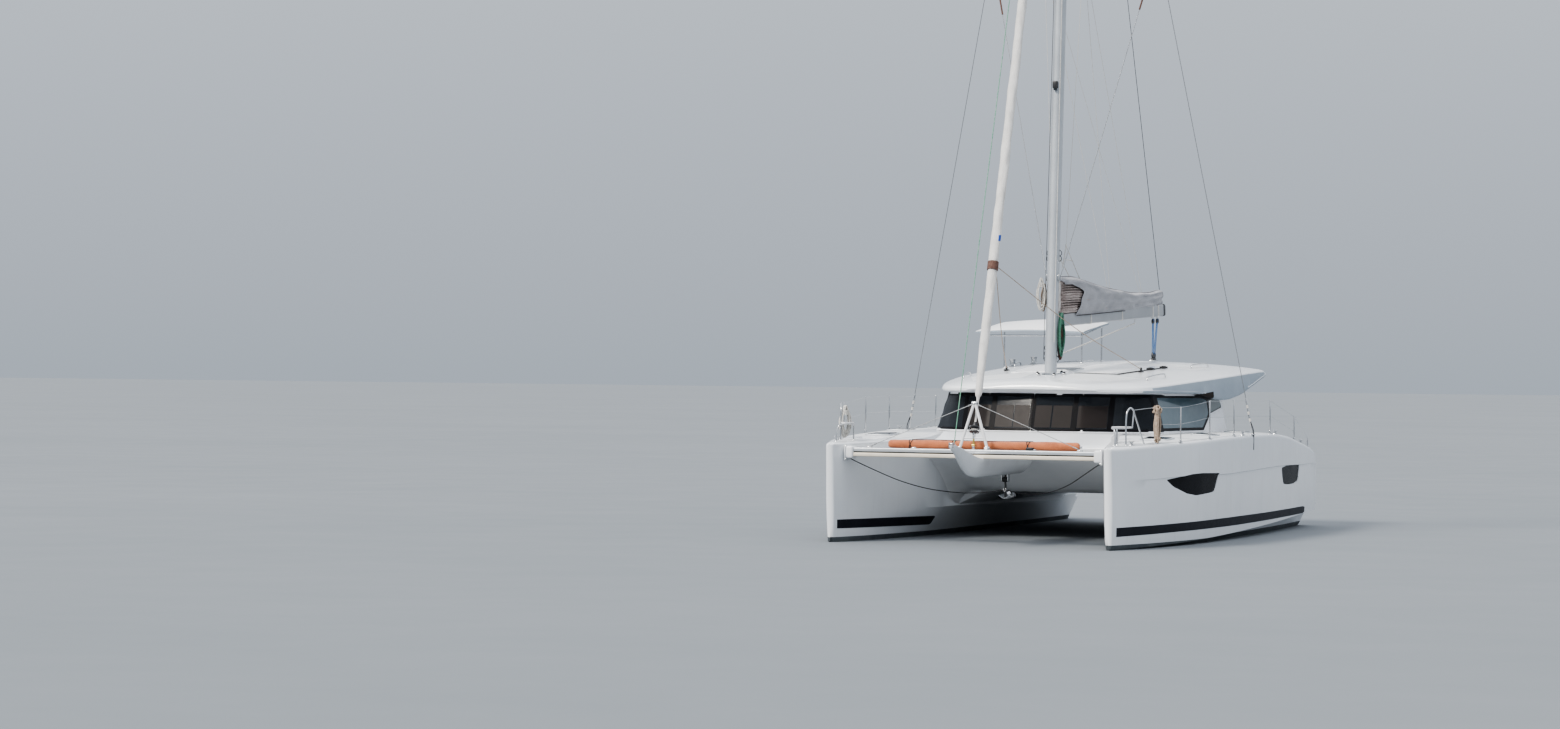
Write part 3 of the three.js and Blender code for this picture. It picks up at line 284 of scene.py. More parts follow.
def inEditMode(obj, *steps):
    activeOnly(obj)
    bpy.ops.object.mode_set(mode="EDIT")
    bpy.ops.mesh.select_all(action="SELECT")
    for step in steps:
        step()
    bpy.ops.object.mode_set(mode="OBJECT")


def facesOutward(obj):
    inEditMode(obj, lambda: bpy.ops.mesh.normals_make_consistent(inside=False))


def applied(obj, kind, **settings):
    activeOnly(obj)
    modifier = obj.modifiers.new(kind.lower(), kind)
    for key, value in settings.items():
        setattr(modifier, key, value)
    bpy.ops.object.modifier_apply(modifier=modifier.name)
    return obj


def cut(obj, *cutters):
    for cutter in cutters:
        applied(obj, "BOOLEAN", operation="DIFFERENCE", object=cutter, solver="EXACT")
        bpy.data.objects.remove(cutter)
    return obj


def block(low, high, bevel=0.008, segments=2):
    low, high = (Vector([pick(pair) for pair in zip(low, high)]) for pick in (min, max))
    clearSelection()
    bpy.ops.mesh.primitive_cube_add(size=1, location=(low + high) / 2)
    obj = bpy.context.object
    obj.scale = high - low
    bpy.ops.object.transform_apply()
    if bevel:
        inEditMode(obj, lambda: bpy.ops.mesh.bevel(offset=bevel, segments=segments, affect="EDGES"))
    return obj


def rod(start, end, radius, endRadius=None, sides=12, bevel=0.0):
    start, end = Vector(start), Vector(end)
    clearSelection()
    bpy.ops.mesh.primitive_cone_add(vertices=sides, radius1=radius, radius2=radius if endRadius is None
                                    else endRadius, depth=(end - start).length, location=(start + end) / 2)
    obj = bpy.context.object
    obj.rotation_mode = "QUATERNION"
    obj.rotation_quaternion = (end - start).to_track_quat("Z", "Y")
    bpy.ops.object.transform_apply()
    if bevel:
        applied(obj, "BEVEL", width=bevel, segments=2, limit_method="ANGLE", angle_limit=radians(50))
    return obj


def skin(rows, closed=False, caps=False):
    # A grid whose vertices are put on the rows of points, with its UV map in metres
    if closed:
        rows = [row + row[:1] for row in rows]
    wide, long = len(rows[0]), len(rows)
    clearSelection()
    bpy.ops.mesh.primitive_grid_add(x_subdivisions=wide - 1, y_subdivisions=long - 1, size=1)
    obj = bpy.context.object
    points = [Vector(p) for row in rows for p in row]
    obj.data.vertices.foreach_set("co", [c for p in points for c in p])
    across, along = [0.0] * len(points), [0.0] * len(points)
    for j in range(long):
        for i in range(wide):
            k = j * wide + i
            if i:
                across[k] = across[k - 1] + (points[k] - points[k - 1]).length
            if j:
                middle = (j - 1) * wide + wide // 2
                along[k] = along[k - wide] + (points[middle + wide] - points[middle]).length
    for loop, spot in zip(obj.data.loops, obj.data.uv_layers.active.data):
        spot.uv = (across[loop.vertex_index], along[loop.vertex_index])
    obj.data.update()
    if closed:
        inEditMode(obj, lambda: bpy.ops.mesh.remove_doubles(threshold=1e-5))
    if caps:
        inEditMode(obj, lambda: bpy.ops.mesh.select_all(action="DESELECT"),
                   lambda: bpy.ops.mesh.select_non_manifold(), lambda: bpy.ops.mesh.fill_holes(sides=0))
    facesOutward(obj)
    return obj


def lineThrough(points, steps=6):
    # Centripetal spline through the points
    points = [Vector(p) for p in points]
    if len(points) < 3:
        return points
    row = [points[0] * 2 - points[1], *points, points[-1] * 2 - points[-2]]
    out = []
    for a, b, c, d in zip(row, row[1:], row[2:], row[3:]):
        gaps = [max(1e-6, (q - p).length ** 0.5) for p, q in ((a, b), (b, c), (c, d))]
        inward = (b - a) / gaps[0] - (c - a) / (gaps[0] + gaps[1]) + (c - b) / gaps[1]
        outgoing = (c - b) / gaps[1] - (d - b) / (gaps[1] + gaps[2]) + (d - c) / gaps[2]
        m, n = inward * gaps[1], outgoing * gaps[1]
        for i in range(steps):
            t = i / steps
            out.append(b * (2 * t**3 - 3 * t**2 + 1) + m * (t**3 - 2 * t**2 + t) + c * (3 * t**2 - 2 * t**3) + n
                       * (t**3 - t**2))
    return [*out, points[-1]]


def ringsAlong(line, radii, sides, squash=1.0):
    line = [Vector(p) for p in line]
    rings, side = [], None
    for i, p in enumerate(line):
        ahead = (line[min(i + 1, len(line) - 1)] - line[max(i - 1, 0)]).normalized()
        if side is None:
            side = ahead.cross(Vector((0, 0, 1)) if abs(ahead.z) < 0.9 else Vector((0, 1, 0))).normalized()
        side = (side - ahead * side.dot(ahead)).normalized()
        other = ahead.cross(side)
        radius = radii[i] if hasattr(radii, "__len__") else radii
        rings.append([p + side * radius * cos(a) + other * radius * squash * sin(a)
                      for a in turns(sides)])
    return rings


def hose(points, radius, sides=8, steps=6, squash=1.0):
    return solid(ringsAlong(lineThrough(points, steps), radius, sides, squash))


def straight(points, radius, sides=8):
    return solid(ringsAlong(points, radius, sides))


def bars(segments, radius, sides=4):
    # Many straight bars as one mesh
    corners, faces = [], []
    for start, end in segments:
        first = len(corners)
        for ring in ringsAlong([start, end], radius, sides):
            corners += ring
        faces.append(tuple(first + i for i in reversed(range(sides))))
        faces.append(tuple(first + sides + i for i in range(sides)))
        for i in range(sides):
            j = (i + 1) % sides
            faces.append((first + i, first + j, first + sides + j, first + sides + i))
    mesh = bpy.data.meshes.new("bars")
    mesh.from_pydata(corners, [], faces)
    obj = bpy.data.objects.new("bars", mesh)
    bpy.context.scene.collection.objects.link(obj)
    facesOutward(obj)
    return obj


def painted(obj, finish):
    obj.data.materials.clear()
    obj.data.materials.append(finishes[finish])
    return obj


def allPainted(parts, finish):
    return [painted(part, finish) for part in parts]


def joined(parts):
    parts = list(parts)
    clearSelection()
    for part in parts:
        part.select_set(True)
    bpy.context.view_layer.objects.active = parts[0]
    if len(parts) > 1:
        bpy.ops.object.join()
    return bpy.context.view_layer.objects.active


def solid(rows):
    return skin(rows, closed=True, caps=True)


def twin(obj):
    # The same piece on the other side of the boat, with its own mesh
    copy = obj.copy()
    copy.data = obj.data.copy()
    bpy.context.scene.collection.objects.link(copy)
    activeOnly(copy)
    copy.scale = (1, -1, 1)
    bpy.ops.object.transform_apply()
    facesOutward(copy)
    return copy


def finished(obj, name, replaces=(), smooth=32, finish=None, body="platform"):
    # obj may be a list of parts, which become one piece
    if isinstance(obj, list):
        obj = joined(obj)
    obj.name = name
    obj.data.name = name
    if finish:
        painted(obj, finish)
    activeOnly(obj)
    bpy.ops.object.transform_apply()
    if smooth:
        bpy.ops.object.shade_smooth_by_angle(angle=radians(smooth))
    if body:
        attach(obj, body)
    if replaces:
        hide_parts(*replaces)
    return obj


def onBothSides(obj, name, replaces=(), smooth=32, finish=None, body="platform"):
    # body and each replaced name may hold SIDE, which becomes port or starboard
    if isinstance(obj, list):
        obj = joined(obj)
    other = twin(obj)
    for piece, side in ((obj, "port"), (other, "starboard")):
        finished(piece, name + "_" + side, [n.replace("SIDE", side) for n in replaces], smooth, finish,
                 body.replace("SIDE", side))
    return obj, other


def eased(table):
    # Monotone cubic through the rows (x, value, ...), so that fine stations never pass the coarse ones
    rows = sorted(table)
    xs = [row[0] for row in rows]

    def slopes(column):
        steps = [(b[column] - a[column]) / (b[0] - a[0]) for a, b in zip(rows, rows[1:])]
        middle = [2 * p * q / (p + q) if p * q > 0 else 0.0 for p, q in zip(steps, steps[1:])]
        return [steps[0], *middle, steps[-1]]

    tangents = [slopes(c) for c in range(1, len(rows[0]))]

    def at(x):
        x = min(max(x, xs[0]), xs[-1])
        i = max(k for k in range(len(xs) - 1) if xs[k] <= x)
        h = xs[i + 1] - xs[i]
        t = (x - xs[i]) / h
        weights = (2 * t**3 - 3 * t**2 + 1, (t**3 - 2 * t**2 + t) * h, 3 * t**2 - 2 * t**3, (t**3 - t**2) * h)
        return [weights[0] * rows[i][c + 1] + weights[1] * tangents[c][i] + weights[2] * rows[i + 1][c + 1]
                + weights[3] * tangents[c][i + 1] for c in range(len(tangents))]
    return at


def spaced(a, b, count):
    return [a + (b - a) * i / (count - 1) for i in range(count)]


def turns(count):
    return [2 * pi * k / count for k in range(count)]


def arcPoints(a, corner, b, count):
    # A quadratic arc from a to b that is drawn towards the corner
    a, corner, b = Vector(a), Vector(corner), Vector(b)
    return [a * (1 - t) ** 2 + corner * 2 * t * (1 - t) + b * t**2 for t in spaced(0, 1, count)]


# Anchor bridle: two slack ropes from the bows to the swivel at the anchor
bridle = {
    "diameter": 0.016,
    "route": [
        (5.42, 2.26, 1.44), (5.405, 2.15, 1.38), (5.19, 1.85, 1.215), (4.9, 1.5, 1.035),
        (4.6, 1.12, 0.905), (4.3, 0.74, 0.84), (4.05, 0.42, 0.83), (3.87, 0.19, 0.852),
        (3.79, 0.07, 0.878),
    ],
}


def makeBridle():
    for side, way in sides.items():
        line = lineThrough([(x, way * y, z) for x, y, z in bridle["route"]], 8)
        rope = solid(ringsAlong(line, bridle["diameter"] / 2, 10))
        finished(rope, "bridle_rope_" + side, ["bridle_" + side], 50, "blackRope")


makeBridle()

# Hulls: a fine skin through the frame's own stations, in millimetres
hull = {
    "middle": 2.43, "creaseStep": 0.018, "inRound": 0.045, "bootTop": 0.085,
    "crease": [(5.845, 1.12), (5.2, 1.133), (4.5, 1.153), (3.5, 1.176), (1.5, 1.174), (-0.34, 1.205),
               (-2.5, 1.24), (-4.4, 1.228), (-5.3, 1.235), (-5.865, 1.1)],
    "noseStart": 5.79, "noseLength": 0.055, "camber": 0.018, "bulge": 0.012,
    # x, sheer, chine, water, deckIn, waterIn, zSheer, zIn, zChine, zKeel, rake
    "stations": [
        (5845, 38, 32, 30, 38, 32, 1620, 1620, 20, -250, 110),
        (5790, 74, 62, 58, 74, 60, 1665, 1665, 20, -380, 105),
        (5300, 245, 195, 165, 215, 184, 1690, 1680, 25, -500, 60),
        (4500, 470, 400, 320, 420, 320, 1720, 1700, 35, -560, 0),
        (3100, 715, 640, 490, 760, 470, 1765, 1760, 60, -600, 0),
        (2600, 770, 700, 530, 880, 510, 1780, 1830, 75, -605, 0),
        (500, 870, 825, 610, 880, 580, 1830, 1850, 130, -600, 0),
        (-1600, 885, 860, 630, 880, 600, 1845, 1850, 190, -550, 0),
        (-2900, 875, 850, 620, 880, 600, 1790, 1650, 230, -470, 0),
        (-4200, 845, 820, 600, 880, 590, 1655, 1500, 275, -350, 0),
        (-5200, 810, 785, 570, 870, 570, 1530, 1420, 310, -200, 0),
        (-5640, 790, 770, 555, 840, 560, 1410, 1270, 325, -120, 0),
        (-5865, 740, 745, 545, 800, 550, 1190, 1080, 330, -80, 0),
    ],
    "steps": [(-4.76, 1.13), (-5.15, 0.79), (-5.5, 0.46)], "stepIn": 1.45, "stepOut": 3.01,
}
hullAt = eased([tuple(v / 1000 for v in row) for row in hull["stations"]])
creaseAt = eased(hull["crease"])
sectionCache = {}


def hullSection(x):
    # Keel to chine, chine to deck edge, deck, and inner side, as (offset from the middle, height)
    key = round(x, 4)
    if key in sectionCache:
        return sectionCache[key]
    sheer, chine, water, deckIn, waterIn, zSheer, zIn, zChine, zKeel, rake = hullAt(min(x, hull["noseStart"]))
    nose = max(0.0, (x - hull["noseStart"]) / hull["noseLength"])
    crease = min(creaseAt(x)[0], zSheer - 0.12)
    step = hull["creaseStep"] * min(1, max(0, (5.25 - x) / 1.2)) * min(1, max(0.1, (x + 5.5) / 1.0))
    bottom = [(p.x, p.y) for p in lineThrough([
        (-waterIn, -0.02, 0), (-0.62 * waterIn, 0.72 * zKeel, 0), (0, zKeel, 0),
        (0.62 * water, 0.72 * zKeel, 0), (water, zChine - 0.04, 0)], 4)]
    side = [(chine + (sheer + 0.004 - step - chine) * t + 4 * hull["bulge"] * t * (1 - t),
             zChine + (crease - 0.006 - zChine) * t) for t in spaced(0, 1, 9)]
    upper = [(sheer + 0.004, crease), (sheer + 0.004, crease + 0.02), (sheer + 0.002, (crease + zSheer - 0.075) / 2)]
    edge = [(p.x, p.y) for p in arcPoints((sheer, zSheer - 0.075, 0), (sheer, zSheer, 0),
                                          (sheer - min(0.075, 0.5 * sheer), zSheer, 0), 7)]
    r = min(hull["inRound"], 0.4 * deckIn)
    a, b = edge[-1], (-deckIn + r, zIn)
    deck = [(a[0] + (b[0] - a[0]) * t, a[1] + (b[1] - a[1]) * t + 4 * hull["camber"] * t * (1 - t))
            for t in spaced(0, 1, 9)[1:-1]]
    inner = [(p.x, p.y) for p in arcPoints((*b, 0), (-deckIn, zIn, 0), (-deckIn, zIn - r, 0), 6)]
    inner += [(-deckIn, z) for z in (1.05, 0.75)]
    inner += [(-deckIn + (deckIn - waterIn) * (0.52 - z) / 0.54, z) for z in (0.52, 0.4, 0.28, 0.16)]
    section = [bottom, side, upper + edge, deck, inner]
    if nose:
        shrink = sqrt(max(0.004, 1 - nose * nose))
        drop = 1 - 0.012 * nose * nose
        section = [[(y * shrink, z * drop) for y, z in part] for part in section]
    sectionCache[key] = section
    return section


def raked(x, z):
    row = hullAt(min(x, hull["noseStart"]))
    return x - row[9] * max(0.0, 1 - z / row[5]) * (1.6 if z < 0 else 1)


def hullPoint(x, z, lift=0.0, inboard=False):
    bottom, side, upper, deck, inner = hullSection(x)
    line = [*inner, bottom[0]] if inboard else [*side, *upper]
    line = sorted(line, key=lambda p: p[1])
    for (ya, za), (yb, zb) in zip(line, line[1:]):
        if za <= z <= zb and zb > za:
            y = ya + (yb - ya) * (z - za) / (zb - za)
            break
    else:
        y = line[0][0] if z < line[0][1] else line[-1][0]
    return Vector((raked(x, z), hull["middle"] + y + (-lift if inboard else lift), z))


def deckHeight(x, y):
    bottom, side, upper, deck, inner = hullSection(x)
    line = sorted([upper[-1], *deck, inner[0]])
    off = abs(y) - hull["middle"]
    for (ya, za), (yb, zb) in zip(line, line[1:]):
        if ya <= off <= yb:
            return za + (zb - za) * (off - ya) / (yb - ya)
    return line[0][1] if off < line[0][0] else line[-1][1]


def rounded(corners, radius, steps=4):
    # A polygon with rounded corners
    out = []
    for i, here in enumerate(corners):
        before, here, after = (Vector((*corners[(i + k) % len(corners)], 0)) for k in (-1, 0, 1))
        reach = min(radius, (before - here).length * 0.45, (after - here).length * 0.45)
        a, b = here + (before - here).normalized() * reach, here + (after - here).normalized() * reach
        out += [(p.x, p.y) for p in arcPoints(a, here, b, steps + 1)]
    return out


def spanAt(outline, u):
    hits = []
    for (ua, va), (ub, vb) in zip(outline, outline[1:] + outline[:1]):
        if min(ua, ub) <= u <= max(ua, ub) and ua != ub:
            hits.append(va + (vb - va) * (u - ua) / (ub - ua))
    return (min(hits), max(hits)) if hits else (outline[0][1],) * 2


def panel(outline, place, thick, edge=0.003, columns=22, rows=5):
    # A solid panel inside a convex outline: place(u, v, depth) gives the point, with depth 0 in front
    lowU, highU = min(p[0] for p in outline), max(p[0] for p in outline)
    margin = (highU - lowU) * 1e-3
    rings = []
    for k in range(columns + 1):
        u = (lowU + highU) / 2 - (highU - lowU - 2 * margin) / 2 * cos(pi * k / columns)
        low, high = spanAt(outline, u)
        inset = min(edge, (high - low) * 0.3)
        flat = -edge if k in (0, columns) else 0.0
        front = [(low, -edge)] + [(low + inset + (high - low - 2 * inset) * t, flat) for t in spaced(0, 1, rows)]
        front.append((high, -edge))
        rings.append([place(u, v, d) for v, d in [*front, (high, -thick), (low, -thick)]])
    return solid(rings)


def oblong(middleX, middleY, length, width):
    return [(middleX - length / 2, middleY - width / 2), (middleX + length / 2, middleY - width / 2),
            (middleX + length / 2, middleY + width / 2), (middleX - length / 2, middleY + width / 2)]


def slab(outline, low, high, edge=0.0005, columns=22):
    return panel(outline, lambda u, v, d: Vector((u, v, high + d)), high - low, edge, columns, 3)


hullWindows = {
    "front": rounded([(4.16, 1.128), (3.51, 1.178), (3.145, 1.206), (2.74, 1.214), (1.8, 1.196), (2.015, 0.885),
                      (2.31, 0.862), (2.94, 0.838), (3.35, 0.88), (3.9, 1.01)], 0.05),
    "aft": rounded([(-2.54, 1.195), (-2.93, 1.23), (-3.44, 1.234), (-4.1, 1.222), (-3.95, 0.93),
                    (-3.56, 0.88), (-3.02, 0.874), (-2.66, 0.895), (-2.58, 1.04)], 0.05),
}
bowLid = {"x": 4.05, "y": 2.42, "length": 0.62, "width": 0.46, "top": 1.698, "thick": 0.04, "depth": 0.62,
          "clear": 0.006, "rim": 0.045}
engineLid = {"x": -4.23, "y": 2.42, "length": 0.86, "width": 0.82, "top": 1.48, "thick": 0.04,
             "depth": 1.27, "clear": 0.006, "rim": 0.045}


def lidOutline(lid, grow=0.0, corner=0.012):
    return rounded(oblong(lid["x"], lid["y"], lid["length"] + 2 * grow, lid["width"] + 2 * grow),
                   max(0.004, corner + grow))


def makeHulls():
    xs = [5.8449, 5.844, 5.8415, 5.837, 5.83, 5.82, 5.805, 5.79, 5.77, 5.73, 5.66, 5.56, 5.44]
    xs += spaced(5.3, -5.64, 62) + [-5.72, -5.8, -5.865]
    rings = []
    for x in xs:
        parts = hullSection(x)
        rings.append([Vector((raked(x, z), hull["middle"] + y, z)) for part in parts for y, z in part])
    shell = solid(rings)
    shell.data.materials.append(finishes["gelcoat"])
    shell.data.materials.append(finishes["antifoul"])
    inEditMode(shell, lambda: bpy.ops.mesh.bisect(plane_co=(0, 0, hull["bootTop"]), plane_no=(0, 0, 1)))
    for face in shell.data.polygons:
        face.material_index = 1 if face.center.z < hull["bootTop"] else 0
    cutters = []
    for x, z in hull["steps"]:
        cutters.append(block((-6.2, hull["stepIn"] - 0.2, z), (x, hull["stepOut"], 2.4), 0.04, 3))
    for lid in (bowLid, engineLid):
        cutters.append(slab(lidOutline(lid, lid["clear"]), lid["top"] - lid["thick"] - 0.001, 2.2))
        cutters.append(slab(lidOutline(lid, -lid["rim"]), lid["top"] - lid["depth"], 2.0))
    for outline in hullWindows.values():
        cutters.append(panel(outline, lambda u, v, d: hullPoint(u, v, 0.05 + d), 0.075, 0.001, 40, 6))
    cut(shell, *cutters)
    inEditMode(shell, lambda: bpy.ops.mesh.separate(type="MATERIAL"))
    pieces = [o for o in bpy.context.selected_objects if o.type == "MESH"]
    top = max(pieces, key=lambda o: max(v.co.z for v in o.data.vertices))
    onBothSides(top, "hull_shell", ["hull_SIDE"], 28)
    for bottom in pieces:
        if bottom is not top:
            onBothSides(bottom, "hull_bottom", smooth=40)


def makeHullTrim():
    stripes = {
        False: [(5.71, 0.222, 0.37), (4.6, 0.235, 0.38), (3.5, 0.245, 0.388), (0.57, 0.255, 0.406),
                (-1.24, 0.266, 0.41), (-4.64, 0.29, 0.424)],
        True: [(5.74, 0.23, 0.38), (4.0, 0.215, 0.37), (2.63, 0.202, 0.356)],
    }
    for inboard, table in stripes.items():
        at = eased(table)
        xs = spaced(table[0][0], table[-1][0], 60)
        rings = []
        for k, x in enumerate(xs):
            low, high = at(x)
            if k == len(xs) - 1:
                low, high = low + 0.02, high - 0.02
            front = [hullPoint(x, z, 0.004, inboard) for z in spaced(low, high, 4)]
            rings.append(front + [hullPoint(x, z, -0.004, inboard) for z in (high, low)])
        stripe = solid(rings)
        onBothSides(stripe, "stripe_inner" if inboard else "stripe_outer", finish="stripe")
    for name, outline in hullWindows.items():
        pane = panel(outline, lambda u, v, d: hullPoint(u, v, -0.012 + d), 0.012, 0.002, 40, 6)
        onBothSides(pane, "hull_window_" + name, finish="hullGlass")


def gripPatch(corners, height, name, radius=0.05, lift=0.0025):
    patch = panel(rounded(corners, radius), lambda u, v, d: Vector((u, v, height(u, v) + lift + d)), 0.006, 0.001, 26,
                  5)
    onBothSides(patch, name, finish="deckGrip")


deckGear = {
    "grips": {"bow": [(5.25, 2.33), (5.25, 2.56), (4.5, 2.78), (4.5, 2.14)],
              "fore": [(3.62, 1.95), (3.62, 2.95), (2.72, 3.06), (2.72, 1.72)],
              "side_fore": [(2.58, 2.36), (2.58, 3.08), (0.6, 3.17), (0.6, 2.52)],
              "side_mid": [(0.5, 2.52), (0.5, 3.175), (-1.55, 3.2), (-1.55, 2.52)],
              "side_aft": [(-1.68, 2.56), (-1.68, 3.2), (-3.1, 3.19), (-3.1, 2.62)]},
    "cleats": [(5.02, 2.6), (0.2, 3.245), (-2.2, 3.25), (-4.45, 3.2)],
    "hatches": [(3.12, 2.5, 0.5), (1.25, 2.84, 0.44), (-1.0, 2.86, 0.44)],  # x, y, size
}


def makeDecks():
    for name, corners in deckGear["grips"].items():
        gripPatch(corners, deckHeight, "grip_" + name)
    for k, (x, z) in enumerate(hull["steps"]):
        aft = (hull["steps"] + [(-5.82, 0)])[k + 1][0]
        y = 1.62 + 0.02 * k
        gripPatch([(x - 0.05, y), (x - 0.05, 2.96), (aft + 0.05, 2.96), (aft + 0.05, y)], lambda u, v, z=z: z,
                  "grip_step_%d" % (k + 1), radius=0.03)
        if k < 2:
            edge = straight([(aft + 0.012, 1.62, z - 0.01), (aft + 0.012, 2.98, z - 0.01)], 0.014)
            onBothSides(edge, "step_nosing_%d" % (k + 1), finish="moulding")
    for side, way in sides.items():
        for kind, lid, body in (("bow_locker", bowLid, "bow_lid_"), ("engine", engineLid, "engine_lid_")):
            top = slab(lidOutline(lid, -0.001), lid["top"] - lid["thick"], lid["top"], 0.008)
            pad = slab(lidOutline(lid, -0.045, 0.04), lid["top"] - 0.004, lid["top"] + 0.0015, 0.001)
            pulls = [rod((lid["x"] + dx, lid["y"] + 0.32 * lid["width"], lid["top"] - 0.004),
                         (lid["x"] + dx, lid["y"] + 0.32 * lid["width"], lid["top"] + 0.005), 0.035, sides=20,
                         bevel=0.0015) for dx in (-0.28 * lid["length"], 0.28 * lid["length"])]
            whole = joined([painted(top, "moulding"), painted(pad, "deckGrip"), *allPainted(pulls, "stainless")])
            if way < 0:
                other = twin(whole)
                bpy.data.objects.remove(whole)
                whole = other
            finished(whole, "%s_cover_%s" % (kind, side), ["%s_lid_%s" % (kind, side)],
                     body=body + side + "_body")
    for k, (x, y) in enumerate(deckGear["cleats"]):
        z = deckHeight(x, y)
        base = block((x - 0.07, y - 0.022, z - 0.003), (x + 0.07, y + 0.022, z + 0.012), 0.008)
        legs = [rod((x + dx, y, z + 0.005), (x + dx, y, z + 0.05), 0.011, sides=10) for dx in (-0.04, 0.04)]
        horn = hose([(x - 0.13, y, z + 0.066), (x - 0.06, y, z + 0.054), (x + 0.06, y, z + 0.054),
                     (x + 0.13, y, z + 0.066)], 0.012, 10, 4)
        onBothSides([base, *legs, horn], "cleat_%d" % (k + 1), finish="stainless")
    for k, (x, y, size) in enumerate(deckGear["hatches"]):
        z = deckHeight(x, y)
        rim = panel(rounded(oblong(x, y, size, size), 0.06),
                    lambda u, v, d: Vector((u, v, deckHeight(u, v) + 0.024 + d)), 0.03, 0.008, 18, 3)
        light = panel(rounded(oblong(x, y, size - 0.08, size - 0.08), 0.04),
                      lambda u, v, d: Vector((u, v, deckHeight(u, v) + 0.029 + d)), 0.012, 0.003, 18, 3)
        hatch = joined([painted(rim, "spar"), painted(light, "cabinGlass")])
        onBothSides(hatch, "deck_hatch_%d" % (k + 1))


makeHulls()
print("hull shells")
makeHullTrim()
makeDecks()
print("hull trim and decks")


def softened(name, width=0.01, finish=None, body="platform", limit=38):
    # The frame's own shape with its faces merged and its edges rounded
    source = nodes[name]
    obj = source.copy()
    obj.data = source.data.copy()
    bpy.context.scene.collection.objects.link(obj)
    obj.parent = None
    obj.matrix_world = source.matrix_world
    obj.hide_render = False
    inEditMode(obj, lambda: bpy.ops.mesh.remove_doubles(threshold=1e-5),
               lambda: bpy.ops.mesh.dissolve_limited(angle_limit=radians(1.5)))
    applied(obj, "BEVEL", width=width, segments=2, limit_method="ANGLE", angle_limit=radians(limit),
            use_clamp_overlap=True)
    return finished(obj, name + "_moulding", [name], finish=finish, body=body)


def roundedLine(corners, radii, steps=5):
    # An open line whose inner corners are rounded
    out = [Vector((*corners[0], 0))]
    for i in range(1, len(corners) - 1):
        before, here, after = (Vector((*corners[i + k], 0)) for k in (-1, 0, 1))
        reach = min(radii[i], (before - here).length * 0.48, (after - here).length * 0.48)
        out += arcPoints(here + (before - here).normalized() * reach, here, here + (after - here).normalized()
                         * reach, steps + 1)
    return [(p.x, p.y) for p in [*out, Vector((*corners[-1], 0))]]


def innerWall(x, z=0.9):
    return hullPoint(x, z, 0, inboard=True).y


# Bridgedeck underside, foredeck and forward beams
underside = {
    "profile": [(-4.964, 1.42), (-4.964, 0.9), (-4.72, 0.706), (1.55, 0.782), (1.95, 0.812), (3.0, 1.372),
                (3.114, 1.5), (3.114, 1.585)],
    "radii": [0, 0.06, 0.3, 0.6, 0.5, 0.35, 0.12, 0], "filletWide": 0.4, "filletDeep": 0.27,
}
crossbeam = {"x": 5.45, "low": 1.45, "high": 1.6, "half": 0.075, "grooveLow": 1.516, "grooveHigh": 1.532}
centralBeam = {
    # x, half breadth, top, bottom
    "stations": [(3.1, 0.295, 1.449, 1.15), (5.0, 0.245, 1.449, 1.132), (5.3, 0.228, 1.449, 1.13),
                 (5.62, 0.198, 1.449, 1.16), (5.95, 0.145, 1.52, 1.3), (6.25, 0.092, 1.612, 1.468),
                 (6.5, 0.052, 1.672, 1.588), (6.6, 0.038, 1.69, 1.622)],
}
centralAt = eased(centralBeam["stations"])


def makeUnderside():
    line = roundedLine(underside["profile"], underside["radii"])
    dense = []
    for (xa, za), (xb, zb) in zip(line, line[1:]):
        count = max(1, int(hypot(xb - xa, zb - za) / 0.16))
        dense += [(xa + (xb - xa) * k / count, za + (zb - za) * k / count) for k in range(count)]
    dense.append(line[-1])
    rings = []
    for i, (x, z) in enumerate(dense):
        (xa, za), (xb, zb) = dense[max(0, i - 1)], dense[min(len(dense) - 1, i + 1)]
        long = hypot(xb - xa, zb - za)
        normal = Vector(((zb - za) / long, 0, -(xb - xa) / long))
        fade = min(1, max(0.12, (3.05 - x) / 1.1)) if x > 1.9 else min(1, max(0.3, (x + 4.95) / 0.5))
        wide, deep = underside["filletWide"] * (0.45 + 0.55 * fade), underside["filletDeep"] * fade
        wall = innerWall(x, max(0.6, min(z, 1.5))) + 0.003
        half = [Vector((x, y, z)) for y in spaced(0, wall - wide, 6)]
        for a in spaced(0, pi / 2, 8)[1:]:
            half.append(Vector((x, wall - wide + wide * sin(a), z)) + normal * deep * (1 - cos(a)))
        back = [p - normal * (0.03 if k < 6 else 0.03 + deep * 0.5) for k, p in enumerate(half)]
        whole = [Vector((p.x, -p.y, p.z)) for p in reversed(half[1:])] + half
        whole += list(reversed(back)) + [Vector((p.x, -p.y, p.z)) for p in back[1:]]
        rings.append(whole)
    finished(solid(rings), "underdeck_skin", smooth=40, finish="moulding")
    rings = []
    for x, z in roundedLine([(3.122, 1.565), (3.122, 1.612), (3.06, 1.65), (2.5, 1.858), (2.3, 1.8585)],
                            [0, 0.02, 0.05, 0.14, 0], 4):
        wall = innerWall(x, min(z, 1.7)) + 0.01
        rings.append([Vector((x, y, z + 0.012 * (1 - (y / wall) ** 2) * min(1, (3.13 - x) * 6)))
                      for y in spaced(-wall, wall, 18)])
    low = [[Vector((p.x - 0.006, p.y, p.z - 0.03)) for p in reversed(ring)] for ring in rings]
    finished(solid([a + b for a, b in zip(rings, low)]), "foredeck_skin", smooth=40, finish="gelcoat")


